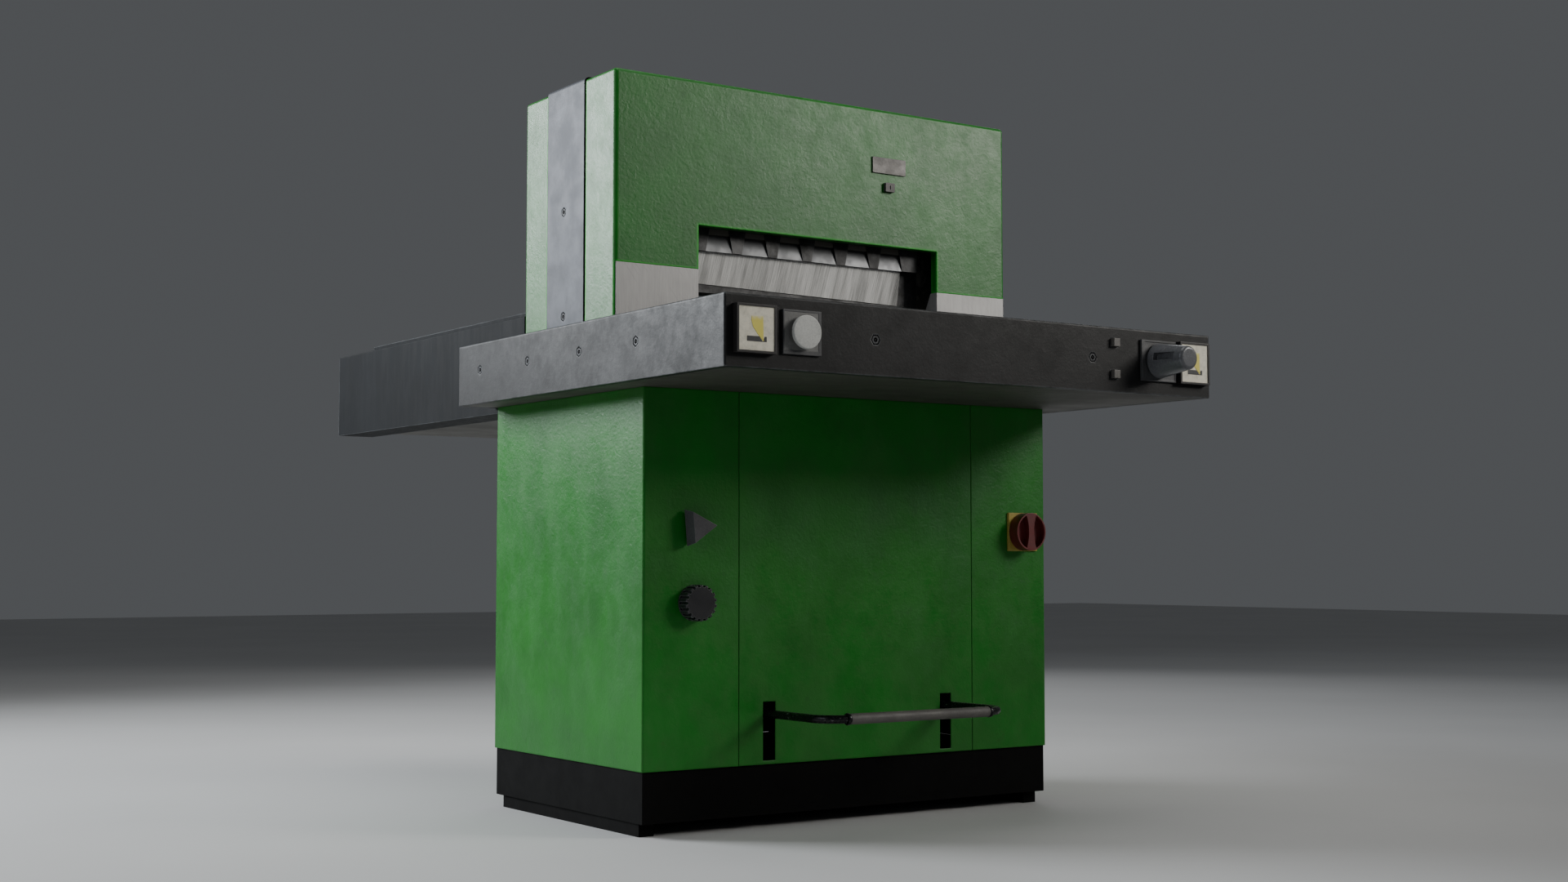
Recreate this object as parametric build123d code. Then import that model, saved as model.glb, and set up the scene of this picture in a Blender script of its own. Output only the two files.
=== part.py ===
"""Powered paper guillotine: cabinet, work table, portal with knife and clamp, rear table with backgauge.

Each function returns one sub-part. Heights are measured from the floor, widths from the centre plane, and
depths from the cabinet's front face, with the back of the machine towards +Y. When the parts are written
they are moved so that the origin is at the centre of the machine's footprint.
"""
from build123d import *
import math
import os

# ---- overall sizes (mm) ----
CABINET_WIDTH = 927.0
CABINET_DEPTH = 575.0
CABINET_BOTTOM = 113.5
TABLE_WIDTH = 1079.0
TABLE_FRONT = 379.0          # how far the table reaches in front of the cabinet
TABLE_BACK = 592.0           # depth at which the work table ends
TABLE_TOP = 900.0
TABLE_HEIGHT = 117.5
PORTAL_WIDTH = 921.0
REAR_END = 1414.0            # depth of the rear table's side beams' ends

# ---- plinth and skids ----
PLINTH_INSET = 3.0           # plinth stands back from the cabinet's sides
PLINTH_FRONT = 4.5
PLINTH_WALL = 4.0
PLINTH_FLANGE = 40.0
FLOOR_PLATE = 6.0
SKID_HEIGHT = 23.5
SKID_WIDTH = 30.0
SKID_INSET = 8.0
SKID_FRONT = 24.5
SKID_LENGTH = 524.0

# ---- cabinet sheet metal ----
SHEET = 2.5
CABINET_CORNER = 4.0
SEAM_GAP = 1.4
SEAM_LEFT = -265.0
SEAM_RIGHT = 274.0
REAR_RETURN = 40.0           # side panels' return round the back corner
LOUVRE_COUNT = 9
LOUVRE_PITCH = 22.0
LOUVRE_LENGTH = 300.0
LOUVRE_HEIGHT = 7.0
LOUVRE_TOP = 700.0

# ---- stand frame ----
POST_LEG = 40.0
BAR_THICKNESS = 5.0
POST_CLEARANCE = 2.0
SPRING_TIE_TOP = 420.0

# ---- work table ----
TABLE_WALL = 14.0
TABLE_PLATE = 30.0
TABLE_EDGE = 3.0
TABLE_RIB = 16.0
PAN = 3.0
STICK_WIDTH = 28.0
STICK_DEPTH = 14.0
STICK_LENGTH = 600.0
SIDE_SCREW_FIRST = 276.8     # from the table's front edge to the first side screw
SIDE_SCREW_PITCH = 199.4
SIDE_SCREW_COUNT = 4
SIDE_SCREW_Z = 847.0
FRONT_SCREW_X = 243.0
FRONT_SCREW_Z = 842.5
SCREW_FLATS = 14.0
SCREW_RECESS_FLATS = 16.6
SCREW_HEAD = 5.0
SCREW_SHANK = 8.0
SCREW_LENGTH = 12.0
SCREW_SOCKET = 3.4           # radius of the round socket
SCREW_PIN = 1.4              # radius of the pin in the socket

# ---- portal ----
WINDOW_HALF = 282.0
WINDOW_TOP = 1100.0
COVER_FRONT = 112.5
COVER_BACK = 221.0
COVER_TOP = 1372.5
COVER_CORNER = 8.0
COVER_SHEET = 3.0
WINDOW_RETURN = 17.5
JAMB_TOP = 1017.5
JAMB_DEPTH = 35.5
JAMB_LIP = 20.5              # jamb plate's depth at its top
YOKE_FRONT = 227.0
YOKE_DEPTH = 145.0
YOKE_TOP = 1377.5
YOKE_CORNER = 10.0
YOKE_OPENING_HALF = 290.0
YOKE_OPENING_TOP = 1110.0
YOKE_WEB = 30.0
YOKE_WALL = 22.0
SPIGOT_INSET = 4.0
SPIGOT_WALL = 8.0
REAR_COVER_BACK = 465.5
REAR_COVER_TOP = 1371.0
YOKE_SCREW_DEPTH = 306.5
YOKE_SCREW_Z = (936.3, 1134.2)
NAME_PLATE = (119.8, 1243.8, 81.7, 31.8, 3.0)     # left, bottom, width, height, thickness
HEAD_LOCK = (148.9, 1207.7, 22.3, 18.0, 7.0)

# ---- knife ----
BLADE_FRONT = 158.0
BLADE_THICKNESS = 12.0
BLADE_LEFT = -390.0
BLADE_RIGHT = 224.0
BLADE_TOP = 1124.0
BLADE_GRIND = 68.0           # height of the ground face above the edge
BLADE_LAND = 0.5             # thickness left at the cutting edge
EDGE_HEIGHT = 996.1          # cutting edge's height on the centre plane, knife up
SWING = math.radians(0.951)  # the edge's dip to the right, knife up
KNIFE_TRAVEL_X = 90.6
KNIFE_GAP = 0.6              # left between the edge and the cutting stick
COMB_FRONT = 150.0
COMB_BOTTOM = 1060.0
COMB_RIGHT = 262.0
POCKET_PITCH = 81.1
POCKET_FIRST = -293.8
POCKET_COUNT = 7
POCKET_TOP_Z = 1103.0
POCKET_BOTTOM_HALF = 30.0
POCKET_TOP_HALF = 21.5
WEDGE_STEP_Z = 1092.5
WEDGE_GAP = 0.15
BEAM_FRONT = 134.0
BEAM_BOTTOM = 1125.0
BEAM_TOP = 1185.0
BEAM_LEFT = -425.0
BEAM_RIGHT = 334.0
PIVOT_X = 314.0
PIVOT_Z = 1150.0
SHOE_LEFT_X = -405.0
SHOE_RADIUS = 17.0
SHOE_PLAY = 0.4
PIN_RADIUS = 10.0
RUNNING = 0.05               # radial clearance of running fits
GUIDE_FRONT = 118.0
GUIDE_THICKNESS = 14.0
GUIDE_LEG = 18.0
GUIDE_OUTER = 446.0
GUIDE_INNER = 286.0
GUIDE_MARGIN = 12.0
KNIFE_BOLT_Z = 1112.0
KNIFE_BOLT_FIRST = -340.0
KNIFE_BOLT_PITCH = 102.0
KNIFE_BOLT_COUNT = 6
KNIFE_BOLT_HEAD = 8.0

# ---- knife cylinder, lying across the head ----
RAM_Y = 152.0
RAM_Z = 1225.0
RAM_LEFT = -430.0
RAM_RIGHT = -190.0
RAM_BORE = 22.0
RAM_WALL = 6.0
RAM_ROD = 12.0
RAM_CAP = 18.0
RAM_PISTON = 20.0
EAR_X = -120.0
EAR_PLAY = 1.2
EAR_THICKNESS = 18.0
EAR_TOP = 1345.0
BLOCK_HALF = 14.0
BLOCK_HEIGHT = 30.0

# ---- clamp ----
CLAMP_FRONT = 171.5
CLAMP_FOOT_DEPTH = 43.5
CLAMP_FOOT_HALF = 276.0
CLAMP_BOTTOM = 984.0
CLAMP_BEAM_BOTTOM = 1125.0
CLAMP_BEAM_TOP = 1185.0
CLAMP_BEAM_HALF = 425.0
CLAMP_GAP = 0.6              # left between the clamp and the table
DRAWBAR_X = 385.0
DRAWBAR_Y = 197.0
DRAWBAR_RADIUS = 12.0
DRAWBAR_HOLE = 15.0
CROSSHEAD_BOTTOM = 560.0
CROSSHEAD_HEIGHT = 45.0
CROSSHEAD_DEPTH = 40.0
CLAMP_RAM_BOTTOM = 645.0
CLAMP_RAM_BORE = 30.0
CLAMP_RAM_WALL = 7.0
CLAMP_RAM_ROD = 16.0
CLAMP_RAM_CAP = 14.0
SPRING_X = 300.0
SPRING_RADIUS = 20.0
SPRING_WIRE = 2.5
SPRING_TURNS = 7

# ---- rear table and backgauge ----
SIDE_BEAM_WIDTH = 84.0
SIDE_BEAM_TOP = 953.5
SIDE_BEAM_DROP = 11.5         # underside of the beams below the table's underside
SIDE_BEAM_WALL = 5.0
REAR_PLATE_END = 1286.0
REAR_PLATE = 15.0
REAR_WALL = 12.0
SLOT_HALF = 12.0
SLOT_FRONT = 605.0
SLOT_BACK = 1245.0
STRIP_END = 1270.0
STRIP_OUTER = 435.0
STRIP_WIDTH = 32.0
STRIP_SHIM = 5.0
STRIP_HEIGHT = 8.5
STRIP_UNDERCUT = 5.0
PUSHER_FACE = 420.0
PUSHER_THICKNESS = 20.0
PUSHER_HALF = 270.0
PUSHER_TOP = 975.0
GLIDE = 0.5                  # backgauge's height above the table
ARM_X = 150.0
ARM_WIDTH = 30.0
ARM_HEIGHT = 30.0
BRIDGE_FRONT = 810.0
BRIDGE_DEPTH = 50.0
BRIDGE_HEIGHT = 45.0
BRIDGE_HALF = 370.0
BACKGAUGE_FORWARD = 195.0    # travel towards the knife
BACKGAUGE_BACK = 380.0       # travel away from it
LEAD_SCREW_Z = 850.0
LEAD_SCREW_RADIUS = 10.0
LEAD_SCREW_PITCH = 10.0      # backgauge travel in one turn
BEARING_THICKNESS = 20.0
NUT_LENGTH = 40.0
NUT_HALF = 20.0
MOTOR_HALF = 42.0
MOTOR_LENGTH = 112.0

# ---- pedal ----
PEDAL_CENTRE = 4.2           # pedal's offset to the right
PEDAL_ARM_X = 203.6
PEDAL_FRONT = -180.0
PEDAL_Z = 203.5
PEDAL_TUBE = 7.5
PEDAL_BEND = 46.0
PEDAL_SHAFT_Y = 250.0
PEDAL_SHAFT_RADIUS = 10.0
PEDAL_HUB = 18.0
PEDAL_SLOT_WIDTH = 27.0
PEDAL_SLOT_BOTTOM = 120.3
PEDAL_SLOT_TOP = 225.5
PEDAL_ANGLE = 12.0           # degrees that the pedal is pressed down
SLEEVE_RADIUS = 9.5
SLEEVE_HALF = 156.5
BRACKET_X = 236.0
BRACKET_THICKNESS = 10.0

# ---- hydraulic power unit and electrics ----
TANK = (-330.0, -30.0, 290.0, 540.0, 180.0)       # left, right, front, back, height
TANK_WALL = 3.0
PUMP_MOTOR_X = -200.0
PUMP_MOTOR_Y = 415.0
PUMP_MOTOR_RADIUS = 72.0
PUMP_MOTOR_LENGTH = 190.0
PUMP_MOTOR_WALL = 8.0
ROTOR_RADIUS = 45.0
ROTOR_SHAFT = 9.0
CONTROL_BOX = (150.0, 405.0, 300.0, 540.0, 300.0, 640.0)

# ---- controls on the table's front ----
CONTROL_Z = 844.0
SIGN_X = (-485.6, 489.7)
SIGN_WIDTH = 75.5
SIGN_HEIGHT = 78.0
SIGN_BORDER = 4.0
SIGN_DEPTH = 12.0
SIGN_RECESS = 1.5
BUTTON_X = -392.0
BUTTON_PLATE = (-431.0, -356.5, 808.0, 880.0)     # left, right, bottom, top
BUTTON_FIELD = (2.5, 5.4, 6.6, 3.4)               # border's width at the left, right, bottom and top
KNOB_X = 403.0
KNOB_PLATE = (360.0, 446.7, 806.5, 881.5)
KNOB_FIELD = (8.0, 3.0, 3.4, 3.4)
PLATE_DEPTH = 5.0
FIELD_DEPTH = 0.8            # depth of the field inside a plate's border
CUT_BUTTON_RADIUS = 27.2
CUT_BUTTON_REACH = 18.0
CUT_BUTTON_TRAVEL = 6.0
STEM_RADIUS = 6.0
CUT_KNOB_BASE = 32.5
CUT_KNOB_TIP = 21.0
CUT_KNOB_REACH = 82.0
CUT_KNOB_ANGLE = 45.0        # degrees that it turns each way
GROOVE_WIDTH = 14.0
GROOVE_START = 14.0
GROOVE_LENGTH = 44.0
GROOVE_TURN = 79.0           # degrees from the top of the knob, towards its left
LIGHT_X = 296.0
LIGHT_Z = (814.5, 872.0)
LIGHT_SIZE = 15.0
LIGHT_REACH = 8.0
LIGHT_TRAVEL = 3.0           # how far it is pressed in

# ---- controls on the cabinet's front ----
TRIANGLE_X = -361.5
TRIANGLE_Z = 538.0
TRIANGLE_SIDE = 65.0
TRIANGLE_TAPER = 0.84
TRIANGLE_TURN = 5.0          # degrees that its point is turned up
TRIANGLE_REACH = 30.0
TRIANGLE_TRAVEL = 5.0
PRESSURE_X = -360.5
PRESSURE_Z = 404.5
PRESSURE_RADIUS = 32.0
PRESSURE_REACH = 28.0
PRESSURE_TEETH = 18
PRESSURE_NOTCH = (5.4, 4.2)  # width and depth of the gaps between its teeth
PRESSURE_ANGLE = 270.0       # degrees that it turns
SWITCH_X = 403.7
SWITCH_Z = 536.0
SWITCH_PLATE = (75.5, 75.5)
SWITCH_PLATE_DEPTH = 5.0
SWITCH_RADIUS = 37.0
SWITCH_REACH = 30.0
SWITCH_RECESS = 14.0
SWITCH_WAIST = 6.5           # half the handle bar's width at its middle
SWITCH_FLARE = 13.5          # half its width at its ends
KNOB_GAP = 0.8               # knobs and buttons stand this far off their plates

# ---- places worked out from the sizes ----
CABINET_HALF = CABINET_WIDTH / 2
TABLE_HALF = TABLE_WIDTH / 2
TABLE_BOTTOM = TABLE_TOP - TABLE_HEIGHT
SIDE_BEAM_BOTTOM = TABLE_BOTTOM - SIDE_BEAM_DROP
TABLE_FACE = -TABLE_FRONT
PORTAL_HALF = PORTAL_WIDTH / 2
PLINTH_HALF = CABINET_HALF - PLINTH_INSET
PLINTH_BACK = CABINET_DEPTH - PLINTH_FRONT - 1.5
SKID_OUTER = CABINET_HALF - SKID_INSET
YOKE_BACK = YOKE_FRONT + YOKE_DEPTH
BLADE_BACK = BLADE_FRONT + BLADE_THICKNESS
FLOOR_TOP = CABINET_BOTTOM
SIDE_BEAM_INNER = PORTAL_HALF - SIDE_BEAM_WIDTH
BRIDGE_INNER = min(BRIDGE_HALF, SIDE_BEAM_INNER - 5.0)
CLAMP_TRAVEL = CLAMP_BOTTOM - CLAMP_GAP - TABLE_TOP
FRONT_REACH = CUT_KNOB_REACH
DEPTH_CENTRE = (REAR_END - TABLE_FRONT - FRONT_REACH) / 2

# The shoe slides down the right guide while the knife swings level about it.
EDGE_AT_PIVOT = EDGE_HEIGHT - PIVOT_X * math.tan(SWING)
PIVOT_TO_EDGE = (PIVOT_Z - EDGE_AT_PIVOT) * math.cos(SWING)
KNIFE_TRAVEL_Z = PIVOT_Z - PIVOT_TO_EDGE - TABLE_TOP - KNIFE_GAP
KNIFE_STROKE = math.hypot(KNIFE_TRAVEL_X, KNIFE_TRAVEL_Z)
SHOE_SPAN = PIVOT_X - SHOE_LEFT_X
LEFT_TRAVEL_X = KNIFE_TRAVEL_X + SHOE_SPAN * (1 - math.cos(SWING))
LEFT_TRAVEL_Z = KNIFE_TRAVEL_Z + SHOE_SPAN * math.sin(SWING)
EAR_ARM = PIVOT_X - EAR_X
EAR_RISE = (RAM_Z - PIVOT_Z + KNIFE_TRAVEL_Z + EAR_ARM * math.sin(SWING)) / math.cos(SWING)
ROD_TRAVEL = KNIFE_TRAVEL_X + EAR_ARM * (1 - math.cos(SWING)) - EAR_RISE * math.sin(SWING)


def block(x0, x1, y0, y1, z0, z1):
    """Box between two faces in each direction."""
    corner = Box(x1 - x0, y1 - y0, z1 - z0, align=(Align.MIN, Align.MIN, Align.MIN))
    return Pos(x0, y0, z0) * corner


def rod_x(x0, x1, y, z, radius):
    """Round bar along X."""
    return Pos((x0 + x1) / 2, y, z) * Rot(0, 90, 0) * Cylinder(radius, x1 - x0)


def rod_y(x, y0, y1, z, radius):
    """Round bar along Y."""
    return Pos(x, (y0 + y1) / 2, z) * Rot(90, 0, 0) * Cylinder(radius, y1 - y0)


def rod_z(x, y, z0, z1, radius):
    """Round bar along Z."""
    return Pos(x, y, (z0 + z1) / 2) * Cylinder(radius, z1 - z0)


def prism_y(points, y0, y1):
    """Prism along Y over an outline of (x, z) points."""
    face = make_face(Polyline(*[(x, y0, z) for x, z in points], close=True))
    return extrude(face, amount=y1 - y0, dir=(0, 1, 0))


def prism_x(points, x0, x1):
    """Prism along X over an outline of (y, z) points."""
    face = make_face(Polyline(*[(x0, y, z) for y, z in points], close=True))
    return extrude(face, amount=x1 - x0, dir=(1, 0, 0))


def together(shapes):
    """One compound that holds the solids of several shapes."""
    return Compound([solid for shape in shapes for solid in shape.solids()])


def upright_edges(shape, test):
    """Vertical edges of a shape whose middle point passes a test."""
    return [edge for edge in shape.edges().filter_by(Axis.Z) if test(edge.center())]


# ---------------------------------------------------------------- base
def skids():
    """Two flat bars that carry the machine, with room for a pallet truck between them."""
    bars = []
    for side in (-1, 1):
        low, high = sorted((side * SKID_OUTER, side * (SKID_OUTER - SKID_WIDTH)))
        bars.append(block(low, high, SKID_FRONT, SKID_FRONT + SKID_LENGTH, 0, SKID_HEIGHT))
    return together(bars)


def plinth():
    """Black base: four walls, a floor plate on top and a flange turned in at the bottom."""
    outer = block(-PLINTH_HALF, PLINTH_HALF, PLINTH_FRONT, PLINTH_BACK, SKID_HEIGHT, FLOOR_TOP)
    wall = PLINTH_WALL
    inner = block(-PLINTH_HALF + wall, PLINTH_HALF - wall, PLINTH_FRONT + wall, PLINTH_BACK - wall,
                  SKID_HEIGHT + wall, FLOOR_TOP - FLOOR_PLATE)
    lip = PLINTH_FLANGE + wall
    mouth = block(-PLINTH_HALF + lip, PLINTH_HALF - lip, PLINTH_FRONT + lip, PLINTH_BACK - lip,
                  SKID_HEIGHT - 1, SKID_HEIGHT + wall + 1)
    return outer - inner - mouth


def angle_post(side, depth_side):
    """Upright angle bar in one corner of the cabinet, open towards the cabinet's middle."""
    x_out = side * (CABINET_HALF - SHEET - POST_CLEARANCE)
    y_out = SHEET + POST_CLEARANCE if depth_side < 0 else CABINET_DEPTH - SHEET - POST_CLEARANCE
    x_in = x_out - side * POST_LEG
    y_in = y_out - depth_side * POST_LEG
    x_thin = x_out - side * BAR_THICKNESS
    y_thin = y_out - depth_side * BAR_THICKNESS
    flange_a = block(min(x_out, x_in), max(x_out, x_in), min(y_out, y_thin), max(y_out, y_thin),
                     FLOOR_TOP, TABLE_BOTTOM)
    flange_b = block(min(x_out, x_thin), max(x_out, x_thin), min(y_out, y_in), max(y_out, y_in),
                     FLOOR_TOP, TABLE_BOTTOM)
    return flange_a + flange_b


def stand_frame():
    """Welded frame of angle bars and flats that carries the table, with a tie for the clamp springs."""
    x_out = CABINET_HALF - SHEET - POST_CLEARANCE
    y_front = SHEET + POST_CLEARANCE
    y_back = CABINET_DEPTH - SHEET - POST_CLEARANCE
    frame = angle_post(-1, -1) + angle_post(1, -1) + angle_post(-1, 1) + angle_post(1, 1)
    top = TABLE_BOTTOM
    for y0, y1 in ((y_front, y_front + POST_LEG), (y_back - POST_LEG, y_back)):
        frame += block(-x_out, x_out, y0, y1, top - BAR_THICKNESS, top)
    tie_low = SPRING_TIE_TOP - POST_LEG
    for side in (-1, 1):
        low, high = sorted((side * x_out, side * (x_out - POST_LEG)))
        frame += block(low, high, y_front, y_back, top - BAR_THICKNESS, top)
        low, high = sorted((side * x_out, side * (x_out - BAR_THICKNESS)))
        frame += block(low, high, y_front, y_back, tie_low, SPRING_TIE_TOP)
    frame += block(-x_out, x_out, DRAWBAR_Y - POST_LEG / 2, DRAWBAR_Y + POST_LEG / 2,
                   SPRING_TIE_TOP - BAR_THICKNESS, SPRING_TIE_TOP)
    frame += block(-x_out, x_out, DRAWBAR_Y + POST_LEG / 2 - BAR_THICKNESS, DRAWBAR_Y + POST_LEG / 2,
                   tie_low, SPRING_TIE_TOP)
    for side in (-1, 1):
        frame -= rod_z(side * DRAWBAR_X, DRAWBAR_Y, tie_low, SPRING_TIE_TOP + 1, DRAWBAR_HOLE)
    return frame


def side_panel(side, seam):
    """Green sheet folded round a front corner: front strip to the seam, side wall, and a rear return."""
    reach = CABINET_HALF - abs(seam) - SEAM_GAP / 2
    x0 = -CABINET_HALF
    low = CABINET_BOTTOM
    high = TABLE_BOTTOM
    outer = block(x0, x0 + reach, 0, CABINET_DEPTH, low, high)
    outer = fillet(upright_edges(outer, lambda c: c.X < x0 + 1), CABINET_CORNER)
    inner = block(x0 + SHEET, x0 + reach + 1, SHEET, CABINET_DEPTH - SHEET, low - 1, high + 1)
    inner = fillet(upright_edges(inner, lambda c: c.X < x0 + SHEET + 1), CABINET_CORNER - SHEET)
    shell = outer - inner
    shell -= block(x0 + REAR_RETURN, x0 + reach + 1, CABINET_DEPTH - 2 * SHEET, CABINET_DEPTH + 1,
                   low - 1, high + 1)
    if side < 0:
        shell -= rod_y(TRIANGLE_X, -1, SHEET + 1, TRIANGLE_Z, STEM_RADIUS + 1)
        shell -= rod_y(PRESSURE_X, -1, SHEET + 1, PRESSURE_Z, STEM_RADIUS + 1)
        return shell
    shell = mirror(shell, Plane.YZ)
    return shell - rod_y(SWITCH_X, -1, SHEET + 1, SWITCH_Z, STEM_RADIUS + 1)


def front_panel():
    """Green panel between the seams, with the two pedal slots."""
    gap = SEAM_GAP / 2
    panel = block(SEAM_LEFT + gap, SEAM_RIGHT - gap, 0, SHEET, CABINET_BOTTOM, TABLE_BOTTOM)
    for side in (-1, 1):
        x = PEDAL_CENTRE + side * PEDAL_ARM_X
        panel -= block(x - PEDAL_SLOT_WIDTH / 2, x + PEDAL_SLOT_WIDTH / 2, -1, SHEET + 1,
                       PEDAL_SLOT_BOTTOM, PEDAL_SLOT_TOP)
    return panel


def rear_panel():
    """Green rear panel with rows of ventilation louvres."""
    half = CABINET_HALF - REAR_RETURN - SEAM_GAP
    panel = block(-half, half, CABINET_DEPTH - SHEET, CABINET_DEPTH, CABINET_BOTTOM, SIDE_BEAM_BOTTOM)
    for row in range(LOUVRE_COUNT):
        z = LOUVRE_TOP - row * LOUVRE_PITCH
        panel -= block(-LOUVRE_LENGTH / 2, LOUVRE_LENGTH / 2, CABINET_DEPTH - SHEET - 1, CABINET_DEPTH + 1,
                       z, z + LOUVRE_HEIGHT)
    return panel


# ---------------------------------------------------------------- work table
def screw_places():
    """Every visible socket screw: a point on its face and the side it faces."""
    places = []
    for side in (-1, 1):
        for index in range(SIDE_SCREW_COUNT):
            y = TABLE_FACE + SIDE_SCREW_FIRST + index * SIDE_SCREW_PITCH
            places.append((side * TABLE_HALF, y, SIDE_SCREW_Z, "x"))
        places.append((side * FRONT_SCREW_X, TABLE_FACE, FRONT_SCREW_Z, "y"))
        for z in YOKE_SCREW_Z:
            places.append((side * PORTAL_HALF, YOKE_SCREW_DEPTH, z, "x"))
    return places


def at_screw_place(place, body):
    """Turn a body built along +Z so that it points into the machine at a screw's place."""
    x, y, z, facing = place
    if facing == "y":
        return Pos(x, y, z) * Rot(-90, 0, 0) * body
    return Pos(x, y, z) * Rot(0, -math.copysign(90, x), 0) * body


def screw_hole(place):
    """Six-sided recess for a screw's head, and the hole for its shank."""
    recess = extrude(RegularPolygon(SCREW_RECESS_FLATS / math.sqrt(3), 6), amount=SCREW_HEAD + 1)
    depth = SCREW_HEAD + SCREW_LENGTH + 2
    shank = Pos(0, 0, depth / 2) * Cylinder(SCREW_SHANK / 2, depth)
    return at_screw_place(place, Pos(0, 0, -1) * recess + shank)


def screw(place):
    """Six-sided screw, flush in its recess, with a round socket that has a pin in it."""
    head = SCREW_HEAD - 0.2
    hexagon = extrude(RegularPolygon(SCREW_FLATS / math.sqrt(3), 6), amount=head)
    shank = Pos(0, 0, head + SCREW_LENGTH / 2) * Cylinder(SCREW_SHANK / 2, SCREW_LENGTH)
    socket = Pos(0, 0, 1) * (Cylinder(SCREW_SOCKET, 4) - Cylinder(SCREW_PIN, 4))
    return at_screw_place(place, Pos(0, 0, 0.2) * (hexagon + shank - socket))


def table():
    """Cast work table: plate with walls and ribs, stick groove, drawbar holes and control openings."""
    outer = block(-TABLE_HALF, TABLE_HALF, TABLE_FACE, TABLE_BACK, TABLE_BOTTOM, TABLE_TOP)
    rim = [edge for edge in outer.edges() if edge.center().Z > TABLE_BOTTOM + 1]
    outer = fillet(rim, TABLE_EDGE)
    inner = block(-TABLE_HALF + TABLE_WALL, TABLE_HALF - TABLE_WALL, TABLE_FACE + TABLE_WALL,
                  TABLE_BACK - TABLE_WALL, TABLE_BOTTOM - 1, TABLE_TOP - TABLE_PLATE)
    cast = outer - inner
    for x in (-PORTAL_HALF + 60, 0, PORTAL_HALF - 60):
        cast += block(x - TABLE_RIB / 2, x + TABLE_RIB / 2, YOKE_FRONT, TABLE_BACK - TABLE_WALL,
                      TABLE_BOTTOM + PAN, TABLE_TOP - TABLE_PLATE)
    cast += block(-TABLE_HALF + TABLE_WALL, TABLE_HALF - TABLE_WALL, YOKE_FRONT, YOKE_FRONT + TABLE_RIB,
                  TABLE_BOTTOM + PAN, TABLE_TOP - TABLE_PLATE)
    cast -= block(-STICK_LENGTH / 2, STICK_LENGTH / 2, BLADE_BACK - STICK_WIDTH / 2,
                  BLADE_BACK + STICK_WIDTH / 2, TABLE_TOP - STICK_DEPTH, TABLE_TOP + 1)
    for side in (-1, 1):
        cast -= rod_z(side * DRAWBAR_X, DRAWBAR_Y, TABLE_BOTTOM, TABLE_TOP + 1, DRAWBAR_HOLE)
    for x in (BUTTON_X, KNOB_X):
        cast -= rod_y(x, TABLE_FACE - 1, TABLE_FACE + TABLE_WALL + 1, CONTROL_Z, STEM_RADIUS + 1)
    for z in LIGHT_Z:
        half = LIGHT_SIZE / 2 + 0.5
        cast -= block(LIGHT_X - half, LIGHT_X + half, TABLE_FACE - 1, TABLE_FACE + 10, z - half, z + half)
    for place in screw_places():
        if abs(place[0]) > PORTAL_HALF + 1 or place[3] == "y":
            cast -= screw_hole(place)
    return cast


def underside_pans():
    """Two sheets that close the underside of the work table and of the rear table."""
    gap = 1.0
    front = block(-TABLE_HALF + TABLE_WALL + gap, TABLE_HALF - TABLE_WALL - gap,
                  TABLE_FACE + TABLE_WALL + gap, TABLE_BACK - TABLE_WALL - gap,
                  TABLE_BOTTOM, TABLE_BOTTOM + PAN)
    for side in (-1, 1):
        front -= rod_z(side * DRAWBAR_X, DRAWBAR_Y, TABLE_BOTTOM - 1, TABLE_BOTTOM + PAN + 1, DRAWBAR_HOLE)
    rear = block(-SIDE_BEAM_INNER, SIDE_BEAM_INNER, CABINET_DEPTH, REAR_PLATE_END,
                 SIDE_BEAM_BOTTOM, SIDE_BEAM_BOTTOM + PAN)
    return together([front, rear])


def cutting_stick():
    """Plastic bar set flush in the table under the knife's edge."""
    gap = 0.2
    return block(-STICK_LENGTH / 2 + gap, STICK_LENGTH / 2 - gap, BLADE_BACK - STICK_WIDTH / 2 + gap,
                 BLADE_BACK + STICK_WIDTH / 2 - gap, TABLE_TOP - STICK_DEPTH, TABLE_TOP)


def frame_screws():
    """All the socket screws in the table's sides, the table's front and the portal's band."""
    return together([screw(place) for place in screw_places()])


# ---------------------------------------------------------------- portal
def portal_block(y0, y1, top, corner):
    """Solid portal outline with rounded upright corners on its sides and a rounded top."""
    body = block(-PORTAL_HALF, PORTAL_HALF, y0, y1, TABLE_TOP, top)
    tops = body.faces().sort_by(Axis.Z)[-1].edges().filter_by(Axis.Y)
    return fillet(tops, corner)


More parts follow.
